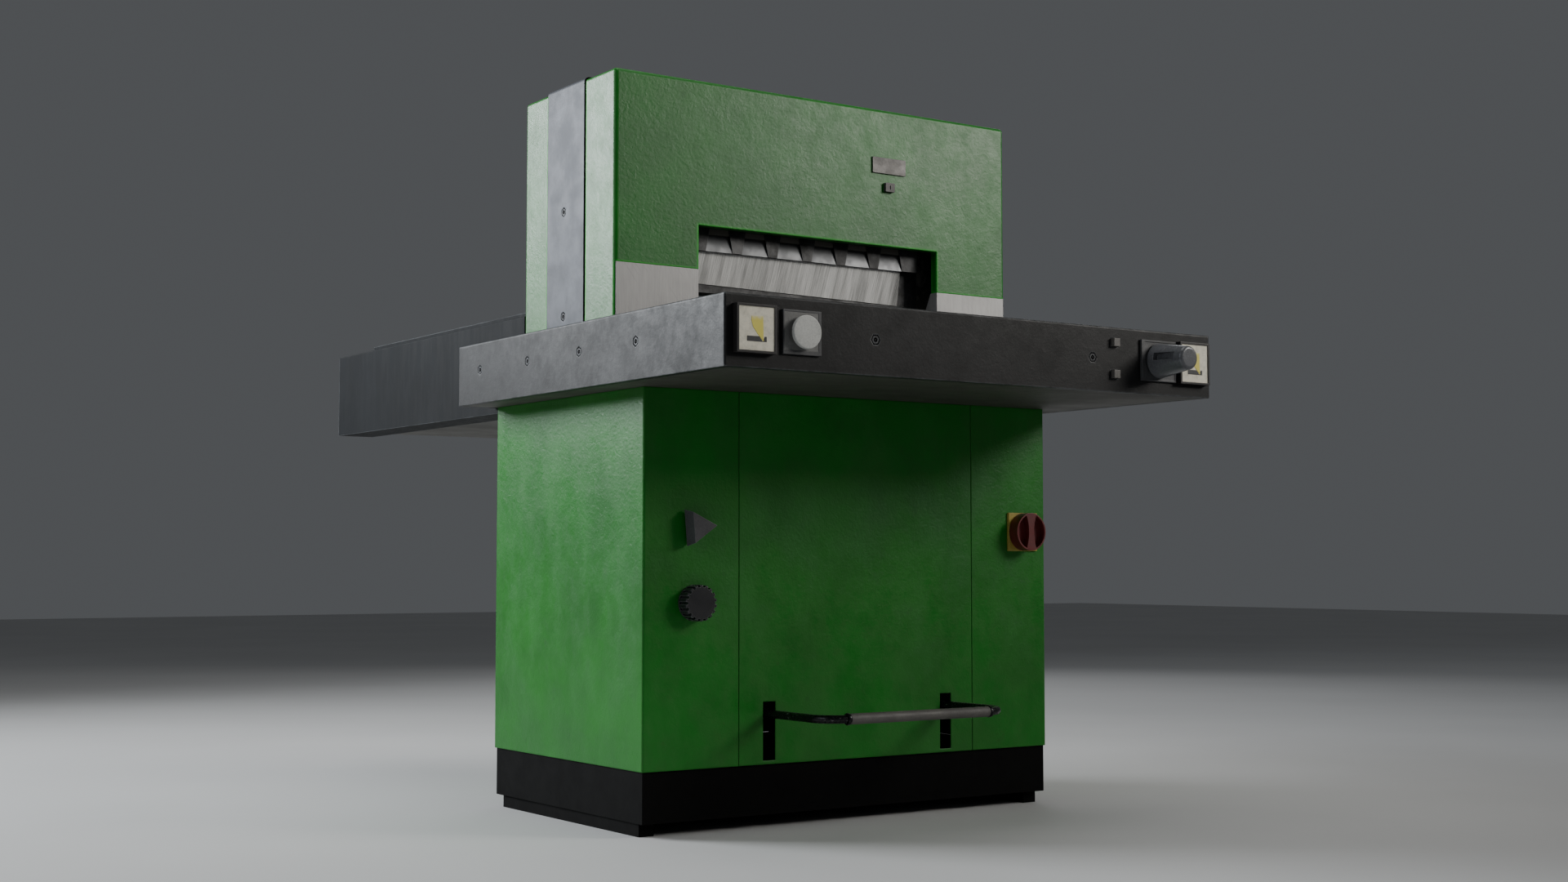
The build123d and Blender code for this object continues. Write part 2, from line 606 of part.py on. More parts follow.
def yoke():
    """Portal frame with a web at the front, walls behind it and a spigot that locates the front cover."""
    body = portal_block(YOKE_FRONT, YOKE_BACK, YOKE_TOP, YOKE_CORNER)
    body -= block(-YOKE_OPENING_HALF, YOKE_OPENING_HALF, YOKE_FRONT - 1, YOKE_BACK + 1,
                  TABLE_TOP - 1, YOKE_OPENING_TOP)
    wall = YOKE_WALL
    pocket_front = YOKE_FRONT + YOKE_WEB
    body -= block(-PORTAL_HALF + wall, PORTAL_HALF - wall, pocket_front, YOKE_BACK + 1,
                  YOKE_OPENING_TOP + wall, YOKE_TOP - wall)
    for side in (-1, 1):
        low, high = sorted((side * (PORTAL_HALF - wall), side * (YOKE_OPENING_HALF + wall)))
        body -= block(low, high, pocket_front, YOKE_BACK + 1, TABLE_TOP + wall, YOKE_OPENING_TOP - wall)
    half = PORTAL_HALF - SPIGOT_INSET
    rim = block(-half, half, COVER_BACK - 5, YOKE_FRONT, TABLE_TOP, COVER_TOP - SPIGOT_INSET)
    rim -= block(-half + SPIGOT_WALL, half - SPIGOT_WALL, COVER_BACK - 6, YOKE_FRONT + 1,
                 TABLE_TOP - 1, COVER_TOP - SPIGOT_INSET - SPIGOT_WALL)
    rim = fillet(upright_top_corners(rim, half), COVER_CORNER - COVER_SHEET)
    body += rim
    for place in screw_places():
        if abs(abs(place[0]) - PORTAL_HALF) < 1 and place[3] == "x":
            body -= screw_hole(place)
    return body


def upright_top_corners(shape, half):
    """The two top corner edges of a portal-shaped rim, which run along Y."""
    top = shape.bounding_box().max.Z
    return [edge for edge in shape.edges().filter_by(Axis.Y)
            if abs(abs(edge.center().X) - half) < 0.1 and abs(edge.center().Z - top) < 0.1]


def cover_shell(y_open, y_face, top):
    """Sheet cover open towards the yoke, with rounded edges round its face."""
    y0, y1 = sorted((y_open, y_face))
    inward = 1 if y_face < y_open else -1
    outer = block(-PORTAL_HALF, PORTAL_HALF, y0, y1, TABLE_TOP, top)
    face_edges = [edge for edge in outer.edges()
                  if abs(edge.center().Y - y_face) < 0.1 and edge.center().Z > TABLE_TOP + 1]
    top_sides = [edge for edge in outer.edges().filter_by(Axis.Y) if edge.center().Z > top - 0.1]
    outer = fillet(face_edges + top_sides, COVER_CORNER)
    sheet = COVER_SHEET
    face_in = y_face + inward * sheet
    y0, y1 = sorted((y_open + inward, face_in))
    inner = block(-PORTAL_HALF + sheet, PORTAL_HALF - sheet, y0, y1, TABLE_TOP - 1, top - sheet)
    inner_edges = [edge for edge in inner.edges()
                   if abs(edge.center().Y - face_in) < 0.1 and edge.center().Z > TABLE_TOP]
    inner_sides = [edge for edge in inner.edges().filter_by(Axis.Y)
                   if edge.center().Z > top - sheet - 0.1]
    inner = fillet(inner_edges + inner_sides, COVER_CORNER - sheet)
    return outer - inner


def front_cover():
    """Green front cover with the knife window; its front face stands on the jamb plates."""
    cover = cover_shell(COVER_BACK, COVER_FRONT, COVER_TOP)
    sheet = COVER_SHEET
    frame_back = COVER_FRONT + WINDOW_RETURN
    cover += block(-WINDOW_HALF - sheet, WINDOW_HALF + sheet, COVER_FRONT + 1, frame_back,
                   JAMB_TOP, WINDOW_TOP + sheet)
    cover -= block(-WINDOW_HALF, WINDOW_HALF, COVER_FRONT - 1, frame_back + 1, TABLE_TOP - 1, WINDOW_TOP)
    cover -= block(-PORTAL_HALF + sheet + 0.5, PORTAL_HALF - sheet - 0.5, COVER_FRONT - 1,
                   COVER_FRONT + JAMB_DEPTH, TABLE_TOP - 1, JAMB_TOP)
    return cover


def rear_cover():
    """Green rear cover with the opening that the backgauge passes through."""
    cover = cover_shell(YOKE_BACK, REAR_COVER_BACK, REAR_COVER_TOP)
    sheet = COVER_SHEET
    half = YOKE_OPENING_HALF
    cover += block(-half - sheet, half + sheet, REAR_COVER_BACK - WINDOW_RETURN, REAR_COVER_BACK - 1,
                   TABLE_TOP, YOKE_OPENING_TOP + sheet)
    return cover - block(-half, half, YOKE_BACK - 1, REAR_COVER_BACK + 1, TABLE_TOP - 1, YOKE_OPENING_TOP)


def jamb_plates():
    """Two steel plates beside the window, thinner at the top than at the table."""
    outer = PORTAL_HALF - COVER_SHEET - 0.8
    profile = [(COVER_FRONT, TABLE_TOP), (COVER_FRONT, JAMB_TOP), (COVER_FRONT + JAMB_LIP, JAMB_TOP),
               (COVER_FRONT + JAMB_DEPTH, JAMB_TOP - 30), (COVER_FRONT + JAMB_DEPTH, TABLE_TOP)]
    return together([prism_x(profile, WINDOW_HALF, outer), prism_x(profile, -outer, -WINDOW_HALF)])


def small_plate(place):
    """Block standing on the front cover, given by its left, bottom, width, height and thickness."""
    left, bottom, width, height, thickness = place
    plate = block(left, left + width, COVER_FRONT - thickness, COVER_FRONT, bottom, bottom + height)
    return fillet(plate.edges().filter_by(Axis.Y), 1.2)


def name_plate():
    """Blank plate."""
    return small_plate(NAME_PLATE)


def head_lock():
    """Square lock with a narrow key slot."""
    left, bottom, width, height, thickness = HEAD_LOCK
    x = left + width / 2
    z = bottom + height / 2
    slot = block(x - 1, x + 1, COVER_FRONT - thickness - 1, COVER_FRONT - thickness + 4, z - 4, z + 4)
    return small_plate(HEAD_LOCK) - slot


# ---------------------------------------------------------------- knife
def pocket_centres():
    """X of each pocket in the knife beam's comb."""
    return [POCKET_FIRST + index * POCKET_PITCH for index in range(POCKET_COUNT)]


def pocket_outline(x, gap):
    """Trapezium of one pocket, wide at the bottom, shrunk by a gap."""
    return [(x - POCKET_BOTTOM_HALF + gap, COMB_BOTTOM), (x + POCKET_BOTTOM_HALF - gap, COMB_BOTTOM),
            (x + POCKET_TOP_HALF - gap, POCKET_TOP_Z - gap), (x - POCKET_TOP_HALF + gap, POCKET_TOP_Z - gap)]


def knife_beam():
    """Cast beam: comb of tapered teeth in front of the blade, beam above it, ears for the ram's block."""
    beam = block(BEAM_LEFT, BEAM_RIGHT, BEAM_FRONT, BLADE_BACK, BEAM_BOTTOM, BEAM_TOP)
    comb = block(BLADE_LEFT, COMB_RIGHT, COMB_FRONT, BLADE_FRONT, COMB_BOTTOM, BEAM_BOTTOM)
    for x in pocket_centres():
        comb -= prism_y(pocket_outline(x, 0), COMB_FRONT - 1, BLADE_FRONT + 1)
    beam += comb
    inner = BLOCK_HALF + EAR_PLAY
    for side in (-1, 1):
        low, high = sorted((EAR_X + side * inner, EAR_X + side * (inner + EAR_THICKNESS)))
        beam += block(low, high, BEAM_FRONT + 2, BLADE_BACK - 2, BEAM_TOP, EAR_TOP)
    slot = RAM_ROD + EAR_PLAY
    beam -= block(EAR_X - inner - EAR_THICKNESS - 1, EAR_X - inner + 1, RAM_Y - slot, RAM_Y + slot,
                  RAM_Z - slot, EAR_TOP + 1)
    beam -= rod_y(PIVOT_X, BEAM_FRONT - 1, BLADE_BACK + 1, PIVOT_Z, PIN_RADIUS + RUNNING)
    beam += rod_y(SHOE_LEFT_X, GUIDE_FRONT + 0.5, BEAM_FRONT, PIVOT_Z, SHOE_RADIUS)
    for x in knife_bolt_places():
        beam -= rod_y(x, COMB_FRONT - 1, BLADE_FRONT + 1, KNIFE_BOLT_Z, KNIFE_BOLT_HEAD / 2)
    return beam


def knife_blade():
    """Blade with its whole exposed face ground back to an edge that dips to the right."""
    land = BLADE_BACK - BLADE_LAND
    high = BLADE_GRIND + 2 * BLADE_THICKNESS + 60
    profile = [(BLADE_FRONT, high), (BLADE_FRONT, BLADE_GRIND), (land, 0),
               (BLADE_BACK, 0), (BLADE_BACK, high)]
    bar = prism_x(profile, BLADE_LEFT - 40, BLADE_RIGHT + 40)
    bar = Pos(0, 0, EDGE_HEIGHT) * Rot(0, math.degrees(SWING), 0) * bar
    bar = bar & block(BLADE_LEFT, BLADE_RIGHT, BLADE_FRONT - 1, BLADE_BACK + 1, TABLE_TOP, BLADE_TOP)
    for x in knife_bolt_places():
        bar -= rod_y(x, BLADE_FRONT - 1, BLADE_FRONT + 8, KNIFE_BOLT_Z, KNIFE_BOLT_HEAD / 2)
    return bar


def knife_bolt_places():
    """X of each bolt that holds the blade to the beam."""
    return [KNIFE_BOLT_FIRST + index * KNIFE_BOLT_PITCH for index in range(KNIFE_BOLT_COUNT)]


def knife_bolts():
    """Socket bolts through the comb into the blade."""
    bolts = []
    for x in knife_bolt_places():
        head = rod_y(x, COMB_FRONT - 7, COMB_FRONT, KNIFE_BOLT_Z, KNIFE_BOLT_HEAD)
        shank = rod_y(x, COMB_FRONT, BLADE_FRONT + 7, KNIFE_BOLT_Z, KNIFE_BOLT_HEAD / 2)
        socket = rod_y(x, COMB_FRONT - 8, COMB_FRONT - 3, KNIFE_BOLT_Z, KNIFE_BOLT_HEAD / 2)
        bolts.append(head + shank - socket)
    return together(bolts)


def knife_wedges():
    """Bright wedges that fill the comb's pockets, thick at the blade and stepped out at the top."""
    front = COMB_FRONT + 0.6
    thin = BLADE_FRONT - 1.8
    profile = [(front, COMB_BOTTOM), (thin, WEDGE_STEP_Z), (front + 1, WEDGE_STEP_Z),
               (front + 1, POCKET_TOP_Z), (BLADE_FRONT, POCKET_TOP_Z), (BLADE_FRONT, COMB_BOTTOM)]
    wedges = []
    for x in pocket_centres():
        slab = prism_x(profile, x - POCKET_BOTTOM_HALF, x + POCKET_BOTTOM_HALF)
        wedges.append(slab & prism_y(pocket_outline(x, WEDGE_GAP), COMB_FRONT, BLADE_FRONT + 1))
    return together(wedges)


def knife_shoe():
    """Round shoe that runs in the right guide, with the pin that the knife beam swings on."""
    disc = rod_y(PIVOT_X, GUIDE_FRONT + 0.5, BEAM_FRONT - 0.5, PIVOT_Z, SHOE_RADIUS)
    return disc + rod_y(PIVOT_X, BEAM_FRONT - 0.5, BLADE_BACK, PIVOT_Z, PIN_RADIUS)


def guide(side, shoe_x, travel_x, travel_z):
    """Plate with an inclined slot, on a leg that reaches back to the yoke."""
    radius = SHOE_RADIUS + SHOE_PLAY
    end_x = shoe_x + travel_x
    end_z = PIVOT_Z - travel_z
    margin = radius + GUIDE_MARGIN
    low, high = sorted((side * GUIDE_INNER, side * GUIDE_OUTER))
    back = GUIDE_FRONT + GUIDE_THICKNESS
    plate = block(low, high, GUIDE_FRONT, back, end_z - margin, PIVOT_Z + margin)
    low, high = sorted((side * (GUIDE_OUTER - GUIDE_LEG), side * GUIDE_OUTER))
    plate += block(low, high, GUIDE_FRONT, YOKE_FRONT, PIVOT_Z - 20, PIVOT_Z + margin)
    length = math.hypot(travel_x, travel_z)
    angle = math.degrees(math.atan2(-travel_z, travel_x))
    slot = extrude(SlotCenterToCenter(length, 2 * radius), amount=GUIDE_THICKNESS + 2)
    middle = Pos((shoe_x + end_x) / 2, back + 1, (PIVOT_Z + end_z) / 2)
    return plate - middle * Rot(90, 0, 0) * Rot(0, 0, angle) * slot


def knife_guides():
    """Left and right guides; their slots differ a little, so the knife swings level as it comes down."""
    left = guide(-1, SHOE_LEFT_X, LEFT_TRAVEL_X, LEFT_TRAVEL_Z)
    right = guide(1, PIVOT_X, KNIFE_TRAVEL_X, KNIFE_TRAVEL_Z)
    return together([left, right])


def knife_cylinder():
    """Hydraulic cylinder lying above the beam, on two brackets from the yoke."""
    outer = RAM_BORE + RAM_WALL
    barrel = rod_x(RAM_LEFT, RAM_RIGHT, RAM_Y, RAM_Z, outer)
    for x0 in (RAM_LEFT, RAM_RIGHT - RAM_CAP):
        barrel += block(x0, x0 + RAM_CAP, RAM_Y - outer, YOKE_FRONT, RAM_Z - outer, RAM_Z + outer)
    barrel -= rod_x(RAM_LEFT + RAM_CAP, RAM_RIGHT - RAM_CAP, RAM_Y, RAM_Z, RAM_BORE + RUNNING)
    return barrel - rod_x(RAM_RIGHT - RAM_CAP - 1, RAM_RIGHT + 1, RAM_Y, RAM_Z, RAM_ROD + RUNNING)


def knife_piston_rod():
    """Piston, rod and the square block that pushes the knife beam's ears."""
    start = RAM_LEFT + RAM_CAP + 1
    piston = rod_x(start, start + RAM_PISTON, RAM_Y, RAM_Z, RAM_BORE)
    shaft = rod_x(start + RAM_PISTON, EAR_X - BLOCK_HALF, RAM_Y, RAM_Z, RAM_ROD)
    head = block(EAR_X - BLOCK_HALF, EAR_X + BLOCK_HALF, RAM_Y - BLOCK_HALF, RAM_Y + BLOCK_HALF,
                 RAM_Z - BLOCK_HEIGHT / 2, RAM_Z + BLOCK_HEIGHT / 2)
    return piston + shaft + head


# ---------------------------------------------------------------- clamp
def clamp_beam():
    """Clamp: foot behind the knife, wider beam above it that the drawbars hang from."""
    back = CLAMP_FRONT + CLAMP_FOOT_DEPTH
    body = block(-CLAMP_FOOT_HALF, CLAMP_FOOT_HALF, CLAMP_FRONT, back, CLAMP_BOTTOM, CLAMP_BEAM_BOTTOM)
    body += block(-CLAMP_BEAM_HALF, CLAMP_BEAM_HALF, CLAMP_FRONT + 2, back,
                  CLAMP_BEAM_BOTTOM, CLAMP_BEAM_TOP)
    for side in (-1, 1):
        body -= rod_z(side * DRAWBAR_X, DRAWBAR_Y, CLAMP_BEAM_BOTTOM - 1, CLAMP_BEAM_TOP - 14,
                      DRAWBAR_RADIUS)
    return body


def clamp_drawbars():
    """Two round bars from the clamp beam down to the crosshead."""
    top = CLAMP_BEAM_TOP - 14
    return together([rod_z(side * DRAWBAR_X, DRAWBAR_Y, CROSSHEAD_BOTTOM, top, DRAWBAR_RADIUS)
                              for side in (-1, 1)])


def clamp_crosshead():
    """Bar that joins the drawbars, with the clamp cylinder's rod and piston on it."""
    top = CROSSHEAD_BOTTOM + CROSSHEAD_HEIGHT
    half = DRAWBAR_X + 2 * DRAWBAR_RADIUS
    body = block(-half, half, DRAWBAR_Y - CROSSHEAD_DEPTH / 2, DRAWBAR_Y + CROSSHEAD_DEPTH / 2,
                 CROSSHEAD_BOTTOM, top)
    for side in (-1, 1):
        body -= rod_z(side * DRAWBAR_X, DRAWBAR_Y, CROSSHEAD_BOTTOM - 1, top + 1, DRAWBAR_RADIUS)
    piston_top = TABLE_BOTTOM - CLAMP_RAM_CAP - 4
    body += rod_z(0, DRAWBAR_Y, top, piston_top - 12, CLAMP_RAM_ROD)
    return body + rod_z(0, DRAWBAR_Y, piston_top - 16, piston_top, CLAMP_RAM_BORE)


def clamp_cylinder():
    """Cylinder under the table that pushes the crosshead down."""
    radius = CLAMP_RAM_BORE + CLAMP_RAM_WALL
    body = rod_z(0, DRAWBAR_Y, CLAMP_RAM_BOTTOM, TABLE_BOTTOM, radius)
    body += block(-radius - 20, radius + 20, DRAWBAR_Y - radius, DRAWBAR_Y + radius,
                  TABLE_BOTTOM - CLAMP_RAM_CAP, TABLE_BOTTOM)
    body -= rod_z(0, DRAWBAR_Y, CLAMP_RAM_BOTTOM + CLAMP_RAM_CAP, TABLE_BOTTOM - CLAMP_RAM_CAP,
                  CLAMP_RAM_BORE + RUNNING)
    return body - rod_z(0, DRAWBAR_Y, CLAMP_RAM_BOTTOM - 1, CLAMP_RAM_BOTTOM + CLAMP_RAM_CAP + 1,
                        CLAMP_RAM_ROD + RUNNING)


def clamp_springs():
    """Two coil springs between the frame's tie and the crosshead that lift the clamp."""
    low = SPRING_TIE_TOP + SPRING_WIRE + 0.2
    height = CROSSHEAD_BOTTOM - SPRING_TIE_TOP - 2 * SPRING_WIRE - 0.4
    coil = Helix(pitch=height / SPRING_TURNS, height=height, radius=SPRING_RADIUS)
    section = Plane(origin=coil @ 0, z_dir=coil % 0) * Circle(SPRING_WIRE)
    spring = sweep(section, path=coil, is_frenet=True)
    return together([Pos(side * SPRING_X, DRAWBAR_Y, low) * spring for side in (-1, 1)])


# ---------------------------------------------------------------- rear table
def side_beam(side):
    """Hollow beam beside the rear table; its front stands on the work table behind the portal."""
    x_in = SIDE_BEAM_INNER
    x_out = PORTAL_HALF
    wall = SIDE_BEAM_WALL
    top = SIDE_BEAM_TOP
    body = block(x_in, x_out, TABLE_BACK, REAR_END, SIDE_BEAM_BOTTOM, top)
    body += block(x_in, x_out, REAR_COVER_BACK, TABLE_BACK, TABLE_TOP, top)
    body += block(x_in, x_out, CABINET_DEPTH, TABLE_BACK, SIDE_BEAM_BOTTOM, TABLE_BOTTOM)
    long_edges = [edge for edge in body.edges().filter_by(Axis.Y) if edge.center().Z > top - 1]
    body = fillet(long_edges, 2.0)
    body -= block(x_in + wall, x_out - wall, TABLE_BACK + wall, REAR_END - wall,
                  SIDE_BEAM_BOTTOM + wall, top - wall)
    body -= block(x_in + wall, x_out - wall, REAR_COVER_BACK + wall, TABLE_BACK + wall + 1,
                  TABLE_TOP + wall, top - wall)
    return body if side > 0 else mirror(body, Plane.YZ)


def rail_strips():
    """Flat strips on top of the side beams, undercut along their outer edge."""
    strips = []
    for side in (-1, 1):
        outer = side * STRIP_OUTER
        inner = side * (STRIP_OUTER - STRIP_WIDTH)
        neck = side * (STRIP_OUTER - STRIP_UNDERCUT)
        base = SIDE_BEAM_TOP
        low, high = sorted((inner, neck))
        strip = block(low, high, REAR_COVER_BACK + 1, STRIP_END, base, base + STRIP_SHIM)
        low, high = sorted((inner, outer))
        strip += block(low, high, REAR_COVER_BACK + 1, STRIP_END, base + STRIP_SHIM,
                       base + STRIP_SHIM + STRIP_HEIGHT)
        strips.append(strip)
    return together(strips)


def rear_table():
    """Two plates behind the work table, with a slot between them for the backgauge, and an end wall."""
    half = SIDE_BEAM_INNER
    low = TABLE_TOP - REAR_PLATE
    plates = [block(x0, x1, TABLE_BACK, REAR_PLATE_END, low, TABLE_TOP)
              for x0, x1 in ((-half, -SLOT_HALF), (SLOT_HALF, half))]
    wall = block(-half, half, REAR_PLATE_END - REAR_WALL, REAR_PLATE_END, SIDE_BEAM_BOTTOM + PAN, low)
    wall -= rod_y(0, REAR_PLATE_END - REAR_WALL - 1, REAR_PLATE_END + 1, LEAD_SCREW_Z,
                  LEAD_SCREW_RADIUS + 1)
    return together(plates + [wall])


def backgauge():
    """Pusher, two arms and the bridge behind them, with the neck that reaches down through the slot."""
    low = TABLE_TOP + GLIDE
    arm_top = low + ARM_HEIGHT
    pusher_back = PUSHER_FACE + PUSHER_THICKNESS
    bridge_back = BRIDGE_FRONT + BRIDGE_DEPTH
    body = block(-PUSHER_HALF, PUSHER_HALF, PUSHER_FACE, pusher_back, low, PUSHER_TOP)
    for side in (-1, 1):
        x0 = side * ARM_X - ARM_WIDTH / 2
        body += block(x0, x0 + ARM_WIDTH, pusher_back, BRIDGE_FRONT, low, arm_top)
        gusset = [(pusher_back, arm_top), (pusher_back, PUSHER_TOP - 8), (pusher_back + 60, arm_top)]
        body += prism_x(gusset, side * ARM_X - 5, side * ARM_X + 5)
    body += block(-BRIDGE_INNER, BRIDGE_INNER, BRIDGE_FRONT, bridge_back, low, low + BRIDGE_HEIGHT)
    neck = SLOT_HALF - 4
    y_mid = BRIDGE_FRONT + BRIDGE_DEPTH / 2
    return body + block(-neck, neck, y_mid - 15, y_mid + 15, LEAD_SCREW_Z + NUT_HALF, low)


def screw_nut():
    """Bronze nut block on the lead screw, under the backgauge's neck."""
    y_mid = BRIDGE_FRONT + BRIDGE_DEPTH / 2
    nut = block(-NUT_HALF, NUT_HALF, y_mid - NUT_LENGTH / 2, y_mid + NUT_LENGTH / 2,
                LEAD_SCREW_Z - NUT_HALF, LEAD_SCREW_Z + NUT_HALF)
    return nut - rod_y(0, y_mid - NUT_LENGTH, y_mid + NUT_LENGTH, LEAD_SCREW_Z, LEAD_SCREW_RADIUS + RUNNING)


def lead_screw():
    """Lead screw, from its front bearing through the rear wall into the motor."""
    return rod_y(0, SLOT_FRONT - BEARING_THICKNESS / 2, REAR_PLATE_END + 30, LEAD_SCREW_Z, LEAD_SCREW_RADIUS)


def screw_bearings():
    """Two bearing blocks under the rear table's plate."""
    bearings = []
    top = TABLE_TOP - REAR_PLATE
    for y0 in (TABLE_BACK + 2, SLOT_BACK + 6):
        body = block(-30, 30, y0, y0 + BEARING_THICKNESS, LEAD_SCREW_Z - 25, top)
        bore = rod_y(0, y0 - 1, y0 + BEARING_THICKNESS + 1, LEAD_SCREW_Z, LEAD_SCREW_RADIUS + RUNNING)
        bearings.append(body - bore)
    return together(bearings)


def backgauge_motor():
    """Gear motor on the rear table's end wall that turns the lead screw."""
    y0 = REAR_PLATE_END
    flange = block(-MOTOR_HALF, MOTOR_HALF, y0, y0 + 14,
                   LEAD_SCREW_Z - MOTOR_HALF, LEAD_SCREW_Z + MOTOR_HALF)
    body = flange + rod_y(0, y0 + 14, y0 + MOTOR_LENGTH, LEAD_SCREW_Z, MOTOR_HALF - 4)
    body += block(MOTOR_HALF - 10, MOTOR_HALF + 16, y0 + 40, y0 + 80, LEAD_SCREW_Z - 20, LEAD_SCREW_Z + 20)
    return body - rod_y(0, y0 - 1, y0 + 32, LEAD_SCREW_Z, LEAD_SCREW_RADIUS + RUNNING)


# ---------------------------------------------------------------- pedal
def pedal_tube():
    """Bent tube: two arms through the slots, joined by a bar in front, with hubs on the shaft."""
    left = PEDAL_CENTRE - PEDAL_ARM_X
    right = PEDAL_CENTRE + PEDAL_ARM_X
    path = FilletPolyline((left, PEDAL_SHAFT_Y, PEDAL_Z), (left, PEDAL_FRONT, PEDAL_Z),
                          (right, PEDAL_FRONT, PEDAL_Z), (right, PEDAL_SHAFT_Y, PEDAL_Z), radius=PEDAL_BEND)
    section = Plane(origin=path @ 0, z_dir=path % 0) * Circle(PEDAL_TUBE)
    tube = sweep(section, path=path)
    for x in (left, right):
        tube += rod_x(x - 10, x + 10, PEDAL_SHAFT_Y, PEDAL_Z, PEDAL_HUB)
        tube -= rod_x(x - 11, x + 11, PEDAL_SHAFT_Y, PEDAL_Z, PEDAL_SHAFT_RADIUS)
    return tube - pedal_bar(PEDAL_TUBE + 1, SLEEVE_HALF) + pedal_bar(PEDAL_TUBE - 0.5, SLEEVE_HALF)


def pedal_bar(radius, half):
    """Round bar on the axis of the pedal's front tube."""
    return rod_x(PEDAL_CENTRE - half, PEDAL_CENTRE + half, PEDAL_FRONT, PEDAL_Z, radius)


def pedal_sleeve():
    """Grey sleeve on the front bar, for the foot."""
    return pedal_bar(SLEEVE_RADIUS, SLEEVE_HALF) - pedal_bar(PEDAL_TUBE - 0.5, SLEEVE_HALF + 1)


def pedal_shaft():
    """Shaft across the cabinet that the pedal turns with, and the cam that works the foot valve."""
    reach = BRACKET_X + BRACKET_THICKNESS + 4
    shaft = rod_x(PEDAL_CENTRE - reach, PEDAL_CENTRE + reach, PEDAL_SHAFT_Y, PEDAL_Z, PEDAL_SHAFT_RADIUS)
    cam = rod_x(PEDAL_CENTRE - 8, PEDAL_CENTRE + 8, PEDAL_SHAFT_Y, PEDAL_Z, PEDAL_HUB)
    return shaft + cam


def pedal_brackets():
    """Two plates on the floor plate that carry the pedal's shaft."""
    plates = []
    for side in (-1, 1):
        x = PEDAL_CENTRE + side * BRACKET_X
        plate = block(x - BRACKET_THICKNESS / 2, x + BRACKET_THICKNESS / 2, PEDAL_SHAFT_Y - 30,
                      PEDAL_SHAFT_Y + 30, FLOOR_TOP, PEDAL_Z + 25)
        bore = rod_x(x - BRACKET_THICKNESS, x + BRACKET_THICKNESS, PEDAL_SHAFT_Y, PEDAL_Z,
                     PEDAL_SHAFT_RADIUS + RUNNING)
        plates.append(plate - bore)
    return together(plates)


def foot_valve():
    """Valve block on the floor plate under the pedal shaft's cam."""
    y = PEDAL_SHAFT_Y
    body = block(PEDAL_CENTRE - 20, PEDAL_CENTRE + 20, y - 25, y + 25, FLOOR_TOP, PEDAL_Z - PEDAL_HUB - 16)
    return body + rod_z(PEDAL_CENTRE, y, PEDAL_Z - PEDAL_HUB - 16, PEDAL_Z - PEDAL_HUB - 1, 5)


# ---------------------------------------------------------------- power unit
def oil_tank():
    """Open sheet tank on the floor plate; the pump's plate closes it."""
    left, right, front, back, height = TANK
    wall = TANK_WALL
    outer = block(left, right, front, back, FLOOR_TOP, FLOOR_TOP + height)
    return outer - block(left + wall, right - wall, front + wall, back - wall,
                         FLOOR_TOP + wall, FLOOR_TOP + height + 1)


def pump():
    """Tank lid with the gear pump hanging under it and the valve block on top."""
    left, right, front, back, height = TANK
    base = FLOOR_TOP + height
    body = block(left, right, front, back, base, base + 8)
    body += rod_z(PUMP_MOTOR_X, PUMP_MOTOR_Y, base - 90, base, 38)
    body += block(right - 70, right - 15, front + 60, front + 190, base + 8, base + 78)
    for row in range(3):
        body += rod_z(right - 42, front + 85 + row * 40, base + 78, base + 118, 14)
    return body - rod_z(PUMP_MOTOR_X, PUMP_MOTOR_Y, base - 40, base + 9, ROTOR_SHAFT + RUNNING)


def pump_motor():
    """Upright motor housing on the tank's lid, open at the top under the fan."""
    base = FLOOR_TOP + TANK[4] + 8
    top = base + PUMP_MOTOR_LENGTH
    x, y = PUMP_MOTOR_X, PUMP_MOTOR_Y
    body = rod_z(x, y, base, top, PUMP_MOTOR_RADIUS)
    for index in range(20):
        fin = block(PUMP_MOTOR_RADIUS - 2, PUMP_MOTOR_RADIUS + 8, -1.5, 1.5, base + 25, top - 35)
        body += Pos(x, y, 0) * Rot(0, 0, index * 18) * fin
    body -= rod_z(x, y, base + 12, top - 45, PUMP_MOTOR_RADIUS - PUMP_MOTOR_WALL)
    body -= rod_z(x, y, top - 35, top + 1, PUMP_MOTOR_RADIUS - 4)
    return body - rod_z(x, y, base - 1, top, ROTOR_SHAFT + RUNNING)


def motor_rotor():
    """Motor shaft with its rotor core and the cooling fan on top."""
    base = FLOOR_TOP + TANK[4] + 8
    top = base + PUMP_MOTOR_LENGTH
    x, y = PUMP_MOTOR_X, PUMP_MOTOR_Y
    body = rod_z(x, y, base - 30, top - 8, ROTOR_SHAFT)
    body += rod_z(x, y, base + 20, top - 55, ROTOR_RADIUS)
    body += rod_z(x, y, top - 26, top - 10, ROTOR_SHAFT + 10)
    for index in range(8):
        blade = block(ROTOR_SHAFT + 6, PUMP_MOTOR_RADIUS - 12, -1.5, 1.5, top - 26, top - 10)
        body += Pos(x, y, 0) * Rot(0, 0, index * 45) * blade
    return body


def control_box():
    """Steel box with the contactors, on the cabinet's right side."""
    x0, x1, y0, y1, z0, z1 = CONTROL_BOX
    body = block(x0, x1, y0, y1, z0, z1)
    body = fillet(body.edges().filter_by(Axis.Y), 4)
    return body + block(x0 + 12, x1 - 12, y0 - 6, y0, z0 + 12, z1 - 12)


